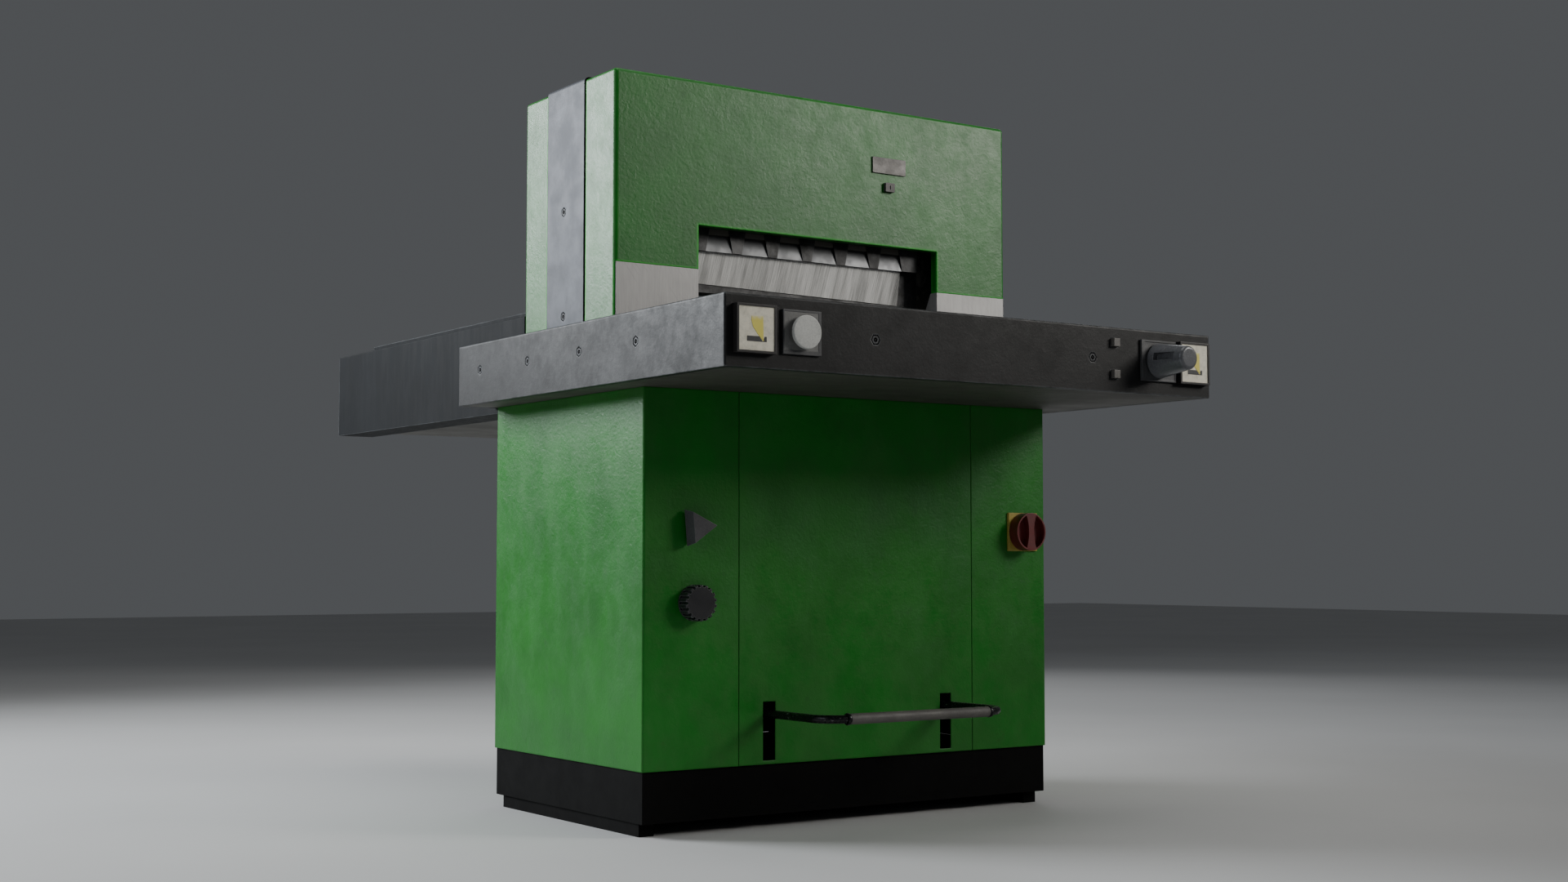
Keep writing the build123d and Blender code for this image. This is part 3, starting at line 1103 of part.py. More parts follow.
# ---------------------------------------------------------------- controls
def sign_frames():
    """Two frames for the cutting signs, at the ends of the control rail."""
    frames = []
    for x in SIGN_X:
        half_w, half_h = SIGN_WIDTH / 2, SIGN_HEIGHT / 2
        frame = block(x - half_w, x + half_w, TABLE_FACE - SIGN_DEPTH, TABLE_FACE,
                      CONTROL_Z - half_h, CONTROL_Z + half_h)
        half_w -= SIGN_BORDER
        half_h -= SIGN_BORDER
        frame -= block(x - half_w, x + half_w, TABLE_FACE - SIGN_DEPTH - 1, TABLE_FACE + 1,
                       CONTROL_Z - half_h, CONTROL_Z + half_h)
        frames.append(frame)
    return together(frames)


def sign_plates():
    """Two pale plates in the sign frames."""
    half_w = SIGN_WIDTH / 2 - SIGN_BORDER
    half_h = SIGN_HEIGHT / 2 - SIGN_BORDER
    return together([block(x - half_w, x + half_w, TABLE_FACE - SIGN_DEPTH + SIGN_RECESS, TABLE_FACE,
                           CONTROL_Z - half_h, CONTROL_Z + half_h) for x in SIGN_X])


def bordered_plate(outline, border, stem_x):
    """Plate with a field sunk inside its border, and a hole for a control's stem."""
    left, right, bottom, top = outline
    face = TABLE_FACE - PLATE_DEPTH
    plate = block(left, right, face, TABLE_FACE, bottom, top)
    plate -= block(left + border[0], right - border[1], face - 1, face + FIELD_DEPTH,
                   bottom + border[2], top - border[3])
    return plate - rod_y(stem_x, face - 1, TABLE_FACE + 1, CONTROL_Z, STEM_RADIUS + 1)


def button_plates():
    """Plates behind the cutting button and the cutting knob."""
    return together([bordered_plate(BUTTON_PLATE, BUTTON_FIELD, BUTTON_X),
                     bordered_plate(KNOB_PLATE, KNOB_FIELD, KNOB_X)])


def cut_button():
    """Round cutting button with its stem."""
    face = TABLE_FACE - CUT_BUTTON_REACH
    back = TABLE_FACE - PLATE_DEPTH - CUT_BUTTON_TRAVEL - KNOB_GAP
    cap = rod_y(BUTTON_X, face, back, CONTROL_Z, CUT_BUTTON_RADIUS)
    cap = fillet(cap.edges().group_by(Axis.Y)[0], 1.5)
    return cap + rod_y(BUTTON_X, back, TABLE_FACE + TABLE_WALL, CONTROL_Z, STEM_RADIUS)


def cut_knob():
    """Tapered cutting knob with a pointer groove along its left side."""
    back = TABLE_FACE - PLATE_DEPTH - KNOB_GAP
    face = TABLE_FACE - CUT_KNOB_REACH
    length = back - face
    cone = Cone(CUT_KNOB_BASE, CUT_KNOB_TIP, length)
    cone = fillet(cone.edges().group_by(Axis.Z)[-1], 6)
    cone = fillet(cone.edges().group_by(Axis.Z)[0], 2)
    groove = block(-GROOVE_WIDTH / 2, GROOVE_WIDTH / 2, CUT_KNOB_TIP - 2, CUT_KNOB_BASE + 5,
                   GROOVE_START - length / 2, GROOVE_START + GROOVE_LENGTH - length / 2)
    cone -= Rot(0, 0, GROOVE_TURN) * groove
    cone = Pos(KNOB_X, (face + back) / 2, CONTROL_Z) * Rot(90, 0, 0) * cone
    return cone + rod_y(KNOB_X, back, TABLE_FACE + TABLE_WALL, CONTROL_Z, STEM_RADIUS)


def light_button(z):
    """Small square push button."""
    half = LIGHT_SIZE / 2
    body = block(LIGHT_X - half, LIGHT_X + half, TABLE_FACE - LIGHT_REACH, TABLE_FACE + 5,
                 z - half, z + half)
    return fillet(body.edges().group_by(Axis.Y)[0], 0.8)


def triangle_button():
    """Three-sided push button that points to the right, tapering outwards, with its stem."""
    radius = TRIANGLE_SIDE / math.sqrt(3)
    back = -TRIANGLE_TRAVEL - KNOB_GAP
    outline = RegularPolygon(radius, 3)
    tip = RegularPolygon(radius * TRIANGLE_TAPER, 3)
    height = TRIANGLE_REACH + back
    body = loft([outline, Pos(0, 0, height) * tip])
    body = Pos(TRIANGLE_X, back, TRIANGLE_Z) * Rot(90, 0, 0) * Rot(0, 0, TRIANGLE_TURN) * body
    return body + rod_y(TRIANGLE_X, back, SHEET + 8, TRIANGLE_Z, STEM_RADIUS)


def pressure_knob():
    """Toothed knob with its stem."""
    back = -KNOB_GAP
    width, depth = PRESSURE_NOTCH
    length = PRESSURE_REACH - KNOB_GAP
    body = Cylinder(PRESSURE_RADIUS, length)
    body = chamfer(body.edges().group_by(Axis.Z)[-1], 1.5)
    notch = Pos(PRESSURE_RADIUS, 0, 3) * Box(2 * depth, width, length)
    for index in range(PRESSURE_TEETH):
        body -= Rot(0, 0, index * 360 / PRESSURE_TEETH) * notch
    body = Pos(PRESSURE_X, back - length / 2, PRESSURE_Z) * Rot(90, 0, 0) * body
    return body + rod_y(PRESSURE_X, back, SHEET + 8, PRESSURE_Z, STEM_RADIUS)


def switch_plate():
    """Yellow plate behind the main switch's knob."""
    width, height = SWITCH_PLATE
    plate = block(SWITCH_X - width / 2, SWITCH_X + width / 2, -SWITCH_PLATE_DEPTH, 0,
                  SWITCH_Z - height / 2, SWITCH_Z + height / 2)
    plate = fillet(plate.edges().filter_by(Axis.Y), 2)
    plate = chamfer(plate.faces().sort_by(Axis.Y)[0].edges(), 1.5)
    return plate - rod_y(SWITCH_X, -SWITCH_PLATE_DEPTH - 1, 1, SWITCH_Z, STEM_RADIUS + 1)


def switch_knob():
    """Round main switch knob: a rim with a waisted handle bar standing in its recess."""
    face = -SWITCH_REACH
    back = -SWITCH_PLATE_DEPTH - KNOB_GAP
    rim = 3.0
    body = rod_y(SWITCH_X, face, back, SWITCH_Z, SWITCH_RADIUS)
    body -= rod_y(SWITCH_X, face - 1, face + SWITCH_RECESS, SWITCH_Z, SWITCH_RADIUS - rim)
    inner = SWITCH_RADIUS - rim / 2
    steps = [index / 6 for index in range(-6, 7)]
    flare = [(SWITCH_WAIST + (SWITCH_FLARE - SWITCH_WAIST) * step ** 2, inner * step) for step in steps]
    outline = [(SWITCH_X - half, SWITCH_Z + z) for half, z in flare]
    outline += [(SWITCH_X + half, SWITCH_Z + z) for half, z in reversed(flare)]
    bar = prism_y(outline, face, face + SWITCH_RECESS + 1) & rod_y(SWITCH_X, face, back, SWITCH_Z, inner)
    return body + bar + rod_y(SWITCH_X, back, SHEET + 8, SWITCH_Z, STEM_RADIUS)


def all_parts():
    """Every sub-part under its name."""
    return {
        "skids": skids(),
        "plinth": plinth(),
        "stand_frame": stand_frame(),
        "side_panel_left": side_panel(-1, SEAM_LEFT),
        "side_panel_right": side_panel(1, SEAM_RIGHT),
        "front_panel": front_panel(),
        "rear_panel": rear_panel(),
        "table": table(),
        "underside_pans": underside_pans(),
        "cutting_stick": cutting_stick(),
        "frame_screws": frame_screws(),
        "yoke": yoke(),
        "front_cover": front_cover(),
        "rear_cover": rear_cover(),
        "jamb_plates": jamb_plates(),
        "name_plate": name_plate(),
        "head_lock": head_lock(),
        "knife_beam": knife_beam(),
        "knife_blade": knife_blade(),
        "knife_bolts": knife_bolts(),
        "knife_wedges": knife_wedges(),
        "knife_shoe": knife_shoe(),
        "knife_guides": knife_guides(),
        "knife_cylinder": knife_cylinder(),
        "knife_piston_rod": knife_piston_rod(),
        "clamp_beam": clamp_beam(),
        "clamp_drawbars": clamp_drawbars(),
        "clamp_crosshead": clamp_crosshead(),
        "clamp_cylinder": clamp_cylinder(),
        "clamp_springs": clamp_springs(),
        "side_beam_left": side_beam(-1),
        "side_beam_right": side_beam(1),
        "rail_strips": rail_strips(),
        "rear_table": rear_table(),
        "backgauge": backgauge(),
        "screw_nut": screw_nut(),
        "lead_screw": lead_screw(),
        "screw_bearings": screw_bearings(),
        "backgauge_motor": backgauge_motor(),
        "pedal_tube": pedal_tube(),
        "pedal_sleeve": pedal_sleeve(),
        "pedal_shaft": pedal_shaft(),
        "pedal_brackets": pedal_brackets(),
        "foot_valve": foot_valve(),
        "oil_tank": oil_tank(),
        "pump": pump(),
        "pump_motor": pump_motor(),
        "motor_rotor": motor_rotor(),
        "control_box": control_box(),
        "sign_frames": sign_frames(),
        "sign_plates": sign_plates(),
        "button_plates": button_plates(),
        "cut_button": cut_button(),
        "cut_knob": cut_knob(),
        "light_button_lower": light_button(LIGHT_Z[0]),
        "light_button_upper": light_button(LIGHT_Z[1]),
        "triangle_button": triangle_button(),
        "pressure_knob": pressure_knob(),
        "switch_plate": switch_plate(),
        "switch_knob": switch_knob(),
    }


def write_parts():
    """Move every sub-part to the machine's own frame and write it."""
    os.makedirs("parts", exist_ok=True)
    for name, shape in all_parts().items():
        export_step(Pos(0, -DEPTH_CENTRE, 0) * shape, f"parts/{name}.step")


if __name__ == "__main__":
    write_parts()
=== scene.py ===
"""Looks of a powered paper guillotine: finishes for its parts, and the pieces that are only for show.

The machine's parts come in as a fixed frame. This add-on gives each of them a finish, adds the sign
pictures, the plate behind the cutting button, the lead screw's thread, the louvres, the pedal's collars and
the springs, and sets the stage. Lengths are in metres.
"""
import math

import bmesh
import bpy
import numpy as np
from bpy.props import FloatProperty, FloatVectorProperty, IntProperty, PointerProperty
from bpy.types import Operator, Panel, PropertyGroup
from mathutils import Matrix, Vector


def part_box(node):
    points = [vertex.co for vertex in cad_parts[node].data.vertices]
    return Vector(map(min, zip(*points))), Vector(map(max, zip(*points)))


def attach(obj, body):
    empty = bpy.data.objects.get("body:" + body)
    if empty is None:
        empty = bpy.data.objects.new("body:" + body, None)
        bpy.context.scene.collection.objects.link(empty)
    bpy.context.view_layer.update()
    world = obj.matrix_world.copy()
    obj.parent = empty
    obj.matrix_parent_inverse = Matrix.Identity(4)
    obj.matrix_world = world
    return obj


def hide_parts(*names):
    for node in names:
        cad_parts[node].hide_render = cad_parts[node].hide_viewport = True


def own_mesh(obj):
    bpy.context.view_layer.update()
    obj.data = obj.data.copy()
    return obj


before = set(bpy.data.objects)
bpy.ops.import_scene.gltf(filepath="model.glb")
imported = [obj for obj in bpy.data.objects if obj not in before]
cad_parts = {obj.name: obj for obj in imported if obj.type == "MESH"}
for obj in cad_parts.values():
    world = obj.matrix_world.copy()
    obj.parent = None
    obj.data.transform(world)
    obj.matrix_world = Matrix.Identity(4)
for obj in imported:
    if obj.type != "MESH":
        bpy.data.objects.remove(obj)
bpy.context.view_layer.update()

bl_info = {
    "name": "Paper Guillotine",
    "version": (1, 0, 0),
    "blender": (4, 5, 0),
    "location": "View3D > Sidebar > Guillotine",
    "description": "Finishes a powered paper guillotine and sets its stage",
    "category": "Object",
}

MM = 0.001
SIGN_SHARE = 0.955  # sign picture's width, against its drawing
SIGN_FIELD = 0.0675  # width of the cream plate inside a sign's frame
JOINT_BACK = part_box("front_cover")[1].y + 0.006  # back of the joint between the front cover and the band
TABLE_EDGE_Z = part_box("table")[1].z
SINK = 0.0001  # how far a picture's back reaches into its plate

# spans over which a finish changes
BLADE_END = (0.190, 0.222)  # painted dark reflection on the blade towards its right end, along X
WEDGE_SHADE = (1.060, 1.092)  # wedges going from bright to shaded, in height
WEDGE_RIM = (1.0918, 1.0925)  # pale rim on top of the wedges, in height
SIGN_FADE = (0.857, 0.869)  # the sign's yellow wearing to cream, in height

# fineness of the new meshes
COIL_STEPS = 24  # rings in each turn of a spring
WIRE_SIDES = 12
SCREW_SIDES = 28
HOOD_COLUMNS = 33
HOOD_ROWS = 9
COLLAR_SIDES = 16
FIELD_LINES = 7
FLOOR_LINES = 41

# shapes of the new pieces
THREAD_BOTTOM = 0.16  # half the groove's bottom, as a share of the pitch
THREAD_FLANK = 0.14  # each flank, as a share of the pitch
THREAD_START = 0.026  # plain length at the screw's front end
THREAD_STOP = 0.048  # plain length at its rear end
THREAD_RUNOUT = 0.004
HOOD_OVER_SLOT = 0.010  # hood's top above its slot
HOOD_SHEET = 0.0012  # thickness of a hood
FIELD_DEPTH = 0.0008  # button field's face behind the plate's face
FIELD_X = (0.0025, 0.0691)  # its sides, from the plates' left end
FIELD_Z = (0.0081, 0.0701)  # its bottom and top, from the plates' bottom
FLOOR_HALF = 14.0
CAMERA_PLACE = (-2.1962, -3.4442, 0.4748)
CAMERA_PITCH = 93.538
CAMERA_HEADING = -34.36


def colour_prop(name, description, default):
    """Colour property with a picker."""
    return FloatVectorProperty(name=name, description=description, default=default, size=3, subtype="COLOR",
                               min=0.0, max=1.0)


def length_prop(name, description, default):
    """Length property in metres."""
    return FloatProperty(name=name, description=description, default=default, min=0.0, unit="LENGTH",
                         precision=4)


class PaintSizes(PropertyGroup):
    """Green enamel on the covers and the cabinet."""
    green: colour_prop("Green", "Enamel where nothing has dulled it", (0.0035, 0.178, 0.0050))
    deep: colour_prop("Deep green", "Enamel in its darker patches", (0.0030, 0.132, 0.0045))
    chalk: colour_prop("Chalk", "Pale bloom on the flat faces", (0.14, 0.33, 0.15))
    chalking: FloatProperty(name="Chalking", description="How much of the faces is pale", default=0.045,
                            min=0.0, max=1.0, subtype="FACTOR")
    pebble: length_prop("Pebble depth", "Depth of the enamel's orange peel", 0.0011)
    # painted highlight: above the table this band along the edges is painted a lighter green
    edge: length_prop("Edge band", "Width of the clean green band along the edges", 0.007)


class MetalSizes(PropertyGroup):
    """Bare and painted metal."""
    band: colour_prop("Band", "Steel of the portal band", (0.080, 0.085, 0.097))
    beam: colour_prop("Side beams", "Steel of the side beams", (0.0105, 0.0120, 0.0138))
    table: colour_prop("Table", "Textured paint on the work table", (0.010, 0.010, 0.0103))
    worn: colour_prop("Worn edge", "Metal that shows where paint is rubbed off", (0.42, 0.44, 0.46))
    jamb: colour_prop("Jamb", "Pale steel beside the window", (0.375, 0.37, 0.365))
    blade: colour_prop("Blade", "Ground blade steel", (0.78, 0.78, 0.765))
    iron: colour_prop("Iron", "Dark cast iron of the knife beam", (0.040, 0.040, 0.041))
    plinth: colour_prop("Plinth", "Black paint on the plinth", (0.0022, 0.0021, 0.0020))
    underside: colour_prop("Underside", "Sheet under the tables", (0.062, 0.057, 0.050))


class SignSizes(PropertyGroup):
    """Picture on each sign: a blade's point above a bar with a notch."""
    cream: colour_prop("Cream", "Sign plate", (0.92, 0.87, 0.71))
    yellow: colour_prop("Yellow", "Blade on the sign", (0.85, 0.74, 0.14))
    ink: colour_prop("Ink", "Bar on the sign", (0.035, 0.036, 0.038))
    proud: length_prop("Thickness", "How far the picture stands off the plate", 0.0004)


class ScrewSizes(PropertyGroup):
    """Lead screw and springs."""
    pitch: length_prop("Pitch", "Travel of the backgauge in one turn", 0.010)
    depth: length_prop("Thread depth", "Depth of the lead screw's thread", 0.0022)
    steps: IntProperty(name="Steps a turn", description="Rings of the mesh in one pitch", default=12,
                       min=6, max=24)
    coils: IntProperty(name="Coils", description="Turns of each clamp spring", default=7, min=3, max=20)
    wire: length_prop("Wire", "Radius of the springs' wire", 0.0025)


class LouvreSizes(PropertyGroup):
    """Hoods pressed out of the rear panel."""
    count: IntProperty(name="Louvres", description="How many hoods", default=9, min=1, max=20)
    pitch: length_prop("Spacing", "From one hood to the next", 0.022)
    width: length_prop("Width", "Length of a hood across the panel", 0.312)
    height: length_prop("Height", "Height of a hood", 0.015)
    reach: length_prop("Reach", "How far a hood stands out", 0.0085)
    top: length_prop("Top", "Height of the highest slot above the floor", 0.700)


class StageSizes(PropertyGroup):
    """Floor, lights and camera."""
    floor: colour_prop("Floor", "Plain floor", (0.58, 0.58, 0.575))
    ambient: FloatProperty(name="Ambient", description="Strength of the even light", default=0.095, min=0.0)
    key: FloatProperty(name="Key", description="Power of the light at the left", default=27.0, min=0.0,
                       unit="POWER")
    glance: FloatProperty(name="Glancing", description="Power of the light behind at the left", default=118.0,
                          min=0.0, unit="POWER")
    fill: FloatProperty(name="Fill", description="Power of the light at the right", default=15.0, min=0.0,
                        unit="POWER")
    top: FloatProperty(name="Top", description="Power of the lights above and behind", default=20.0, min=0.0,
                       unit="POWER")
    lens: FloatProperty(name="Lens", description="Focal length", default=45.28, min=1.0, unit="CAMERA")


GROUPS = {
    "guillotine_paint": PaintSizes,
    "guillotine_metal": MetalSizes,
    "guillotine_signs": SignSizes,
    "guillotine_screw": ScrewSizes,
    "guillotine_louvres": LouvreSizes,
    "guillotine_stage": StageSizes,
}


# ---------------------------------------------------------------- materials
class Finish:
    """One node material, with a short call for each kind of node that the finishes use."""

    def __init__(self, name):
        self.material = bpy.data.materials.new(name)
        self.material.use_nodes = True
        self.tree = self.material.node_tree
        self.shader = next(n for n in self.tree.nodes if n.type == "BSDF_PRINCIPLED")
        self.place = self.node("TexCoord").outputs["Object"]
        self.soft = None

    def node(self, kind, inputs=None, **settings):
        """Add a node, set its settings, and set or link its inputs."""
        made = self.tree.nodes.new("ShaderNode" + kind)
        for key, value in settings.items():
            setattr(made, key, value)
        for key, value in (inputs or {}).items():
            self.feed(made.inputs[key], value)
        return made

    def feed(self, socket, value):
        """Link a socket's value, or set a constant."""
        if isinstance(value, bpy.types.NodeSocket):
            self.tree.links.new(value, socket)
        else:
            socket.default_value = value

    def mapped(self, stretch, turn=(0.0, 0.0, 0.0)):
        """Object coordinates turned and then stretched."""
        turned = self.node("Mapping", {"Vector": self.place, "Rotation": turn}).outputs["Vector"]
        return self.node("Mapping", {"Vector": turned, "Scale": stretch}).outputs["Vector"]

    def noise(self, scale, detail=4.0, rough=0.55, stretch=None, turn=(0.0, 0.0, 0.0), bend=0.0):
        """Fractal noise, scale cells to the metre, and stretched if asked."""
        place = self.mapped(stretch, turn) if stretch else self.place
        made = self.node("TexNoise", {"Vector": place, "Scale": scale, "Detail": detail, "Roughness": rough,
                                      "Distortion": bend})
        return made.outputs["Fac"]

    def cells(self, scale):
        """Distance to the nearest of scattered points."""
        return self.node("TexVoronoi", {"Vector": self.place, "Scale": scale}).outputs["Distance"]

    def span(self, value, low, high, to_low=0.0, to_high=1.0):
        """Smooth step of a value from one span to another."""
        made = self.node("MapRange", {"Value": value, "From Min": low, "From Max": high, "To Min": to_low,
                                      "To Max": to_high}, interpolation_type="SMOOTHSTEP")
        return made.outputs["Result"]

    def math(self, operation, a, b=0.0):
        """Arithmetic on two values."""
        made = self.node("Math", operation=operation)
        self.feed(made.inputs[0], a)
        self.feed(made.inputs[1], b)
        return made.outputs["Value"]

    def mix(self, share, a, b):
        """Blend of two colours."""
        made = self.node("Mix", data_type="RGBA")
        colours = [s for s in made.inputs if s.type == "RGBA"]
        self.feed(made.inputs["Factor"], share)
        for socket, value in zip(colours, (a, b)):
            self.feed(socket, value if isinstance(value, bpy.types.NodeSocket) else (*value, 1.0))
        return next(s for s in made.outputs if s.type == "RGBA")

    def edge(self, radius, reach=0.12):
        """1 on the edges and 0 on flat faces: how far the face's normal is from the rounded one."""
        soft = self.node("Bevel", {"Radius": radius}, samples=6).outputs["Normal"]
        flat = self.node("NewGeometry").outputs["Normal"]
        dot = self.node("VectorMath", {0: soft, 1: flat}, operation="DOT_PRODUCT").outputs["Value"]
        return self.span(self.math("SUBTRACT", 1.0, dot), 0.002, reach)

    def round(self, radius):
        """Shade the edges as if they were rounded."""
        self.soft = self.node("Bevel", {"Radius": radius}, samples=6).outputs["Normal"]

    def axis(self, name):
        """One of the object coordinates."""
        return self.node("SeparateXYZ", {"Vector": self.place}).outputs[name]

    def bump(self, height, depth, strength=1.0):
        """Relief of a height field, added to what is already there."""
        inputs = {"Height": height, "Distance": depth, "Strength": strength}
        if self.soft is not None:
            inputs["Normal"] = self.soft
        self.soft = self.node("Bump", inputs).outputs["Normal"]

    def set(self, colour, metallic=0.0, roughness=0.5, **more):
        """Fill the shader's sockets."""
        values = {"Base Color": colour, "Metallic": metallic, "Roughness": roughness, **more}
        for key, value in values.items():
            if isinstance(value, tuple) and len(value) == 3:
                value = (*value, 1.0)
            self.feed(self.shader.inputs[key.replace("_", " ")], value)
        if self.soft is not None:
            self.feed(self.shader.inputs["Normal"], self.soft)
        return self.material


def dress(material, *nodes):
    """Give a finish to parts of the frame."""
    for name in nodes:
        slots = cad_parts[name].data.materials
        slots.clear()
        slots.append(material)


def shade(colour, factor):
    """A colour made lighter or darker."""
    return tuple(min(1.0, c * factor) for c in colour[:3])


def green_enamel(paint):
    """Thick green enamel with orange peel, pale bloom on the flats, clean colour along the edges, and above
    the table a painted highlight of lighter green along the edges.
    """
    f = Finish("green_enamel")
    patches = f.noise(7.0, 6.0, 0.66)
    streaks = f.noise(11.0, 6.0, 0.66, stretch=(1.0, 1.0, 0.55))
    grain = f.noise(380.0, 4.0, 0.62)
    peel = f.noise(100.0, 4.0, 0.55, bend=0.6)
    dimples = f.noise(210.0, 3.0, 0.5)
    stains = f.noise(30.0, 6.0, 0.72)
    colour = f.mix(f.span(patches, 0.30, 0.70), tuple(paint.deep), tuple(paint.green))
    clean = f.math("SUBTRACT", 1.0, f.edge(paint.edge, 0.05))
    bloom = f.math("MULTIPLY", f.span(streaks, 0.36, 0.72), f.span(grain, 0.22, 0.75, 0.55, 1.0))
    bloom = f.math("MULTIPLY", f.math("MULTIPLY", bloom, clean), paint.chalking * 2.0)
    colour = f.mix(bloom, colour, tuple(paint.chalk))
    blots = f.math("MULTIPLY", f.span(stains, 0.58, 0.78), f.math("MULTIPLY", clean, 0.35))
    colour = f.mix(blots, colour, shade(tuple(paint.deep), 0.45))
    # painted highlight: above the table a lighter green runs along the edges, for the light on their rounded
    # edges
    above_table = f.span(f.axis("Z"), TABLE_EDGE_Z, TABLE_EDGE_Z + 0.01)
    edge_highlight = f.math("MULTIPLY", f.math("SUBTRACT", 1.0, clean), above_table)
    colour = f.mix(edge_highlight, colour, shade(tuple(paint.green), 2.6))
    spots = f.math("MULTIPLY", f.span(f.cells(75.0), 0.0, 0.10, 1.0, 0.0), f.span(stains, 0.54, 0.62))
    colour = f.mix(f.math("MULTIPLY", spots, 0.5), colour, (0.006, 0.022, 0.008))
    rough = f.span(streaks, 0.25, 0.8, 0.35, 0.43)
    rough = f.math("ADD", rough, f.span(stains, 0.35, 0.7, -0.03, 0.05))
    rough = f.math("ADD", rough, f.span(clean, 0.0, 1.0, 0.10, 0.0))
    f.round(0.0035)
    f.bump(peel, paint.pebble * 0.8, 0.45)
    f.bump(dimples, paint.pebble * 0.4, 0.45)
    f.bump(grain, paint.pebble * 0.2, 0.5)
    return f.set(colour, roughness=rough, Specular_IOR_Level=0.42)


def band_steel(metal):
    """Blue-grey steel band: softly clouded, with rubbed edges, painted shadow in black on its rim where the
    front cover meets it, and an inner web painted pale grey as painted light in its shade.
    """
    f = Finish("band_steel")
    clouds = f.noise(13.0, 6.0, 0.64)
    stains = f.noise(42.0, 6.0, 0.72, stretch=(1.0, 1.0, 0.6))
    fine = f.noise(520.0, 3.0, 0.6)
    base = tuple(metal.band)
    colour = f.mix(f.span(clouds, 0.34, 0.68), shade(base, 0.86), shade(base, 1.12))
    colour = f.mix(f.math("MULTIPLY", f.span(stains, 0.58, 0.74), 0.38), colour, shade(base, 0.45))
    wear = f.math("MULTIPLY", f.edge(0.0016), f.span(clouds, 0.30, 0.55, 0.2, 0.7))
    colour = f.mix(wear, colour, tuple(metal.worn))
    front = f.span(f.axis("Y"), JOINT_BACK + 0.0014, JOINT_BACK + 0.0022, 1.0, 0.0)
    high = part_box("yoke")[1]
    beside = f.span(f.math("ABSOLUTE", f.axis("X")), high.x - 0.004, high.x - 0.003)
    above = f.span(f.axis("Z"), high.z - 0.010, high.z - 0.009)
    outside = f.math("MAXIMUM", beside, above)
    # painted shadow: the rim where the front cover meets the band is black, for the shade in the gap between
    # them
    gap_shadow = f.math("MULTIPLY", front, outside)
    colour = f.mix(gap_shadow, colour, (0.003, 0.003, 0.003))
    # painted light: the inner web, which sits in the window's shade, is pale grey with darker stains so that
    # it does not go black
    web = f.math("MULTIPLY", front, f.math("SUBTRACT", 1.0, outside))
    web_painted_light = f.mix(f.span(stains, 0.50, 0.66), (0.11, 0.107, 0.10), (0.36, 0.35, 0.33))
    colour = f.mix(web, colour, web_painted_light)
    f.round(0.0015)
    f.bump(fine, 0.0003, 0.35)
    f.bump(stains, 0.0004, 0.30)
    rough = f.span(gap_shadow, 0.0, 1.0, f.span(clouds, 0.3, 0.7, 0.54, 0.45), 1.0)
    return f.set(colour, metallic=f.span(gap_shadow, 0.0, 1.0, 0.25, 0.0), roughness=rough,
                 Specular_IOR_Level=0.22)


def beam_steel(metal):
    """Dark blue-grey steel of the side beams, with short upright streaks of paler dirt."""
    f = Finish("beam_steel")
    clouds = f.noise(8.0, 6.0, 0.66)
    streaks = f.noise(60.0, 6.0, 0.66, stretch=(1.0, 1.0, 0.16))
    fine = f.noise(420.0, 3.0, 0.6)
    base = tuple(metal.beam)
    colour = f.mix(f.span(clouds, 0.34, 0.68), shade(base, 0.78), shade(base, 1.14))
    colour = f.mix(f.math("MULTIPLY", f.span(streaks, 0.52, 0.72), 0.40), colour, shade(base, 1.8))
    colour = f.mix(f.math("MULTIPLY", f.span(streaks, 0.46, 0.30), 0.30), colour, shade(base, 0.5))
    wear = f.math("MULTIPLY", f.edge(0.0016), f.span(clouds, 0.30, 0.55, 0.15, 0.55))
    colour = f.mix(wear, colour, tuple(metal.worn))
    f.round(0.0015)
    f.bump(fine, 0.0003, 0.35)
    f.bump(streaks, 0.0003, 0.25)
    return f.set(colour, roughness=f.span(streaks, 0.3, 0.7, 0.52, 0.64), Specular_IOR_Level=0.08)


def table_paint(metal):
    """Dark, finely pebbled paint with a satin sheen, rubbed bright along the table's upper edges."""
    f = Finish("table_paint")
    clouds = f.noise(9.0, 6.0, 0.62)
    scuffs = f.noise(36.0, 6.0, 0.70)
    leather = f.noise(300.0, 4.0, 0.62)
    pebble = f.noise(95.0, 3.0, 0.55, bend=0.4)
    base = tuple(metal.table)
    colour = f.mix(f.span(clouds, 0.34, 0.68), shade(base, 0.80), shade(base, 1.25))
    colour = f.mix(f.math("MULTIPLY", f.span(leather, 0.56, 0.72), 0.28), colour, shade(base, 4.5))
    colour = f.mix(f.math("MULTIPLY", f.span(scuffs, 0.60, 0.76), 0.20), colour, shade(base, 4.0))
    high = f.span(f.axis("Z"), TABLE_EDGE_Z - 0.010, TABLE_EDGE_Z - 0.003)
    rubbed = f.math("MULTIPLY", f.span(scuffs, 0.34, 0.60, 0.30, 1.0), f.span(high, 0.0, 1.0, 0.28, 0.85))
    colour = f.mix(f.math("MULTIPLY", f.edge(0.0045, 0.10), rubbed), colour, tuple(metal.worn))
    rough = f.math("ADD", f.span(clouds, 0.3, 0.7, 0.50, 0.42), f.span(scuffs, 0.3, 0.7, 0.05, -0.05))
    f.round(0.003)
    f.bump(pebble, 0.0006, 0.35)
    f.bump(leather, 0.0004, 0.45)
    return f.set(colour, roughness=rough, Specular_IOR_Level=0.24)


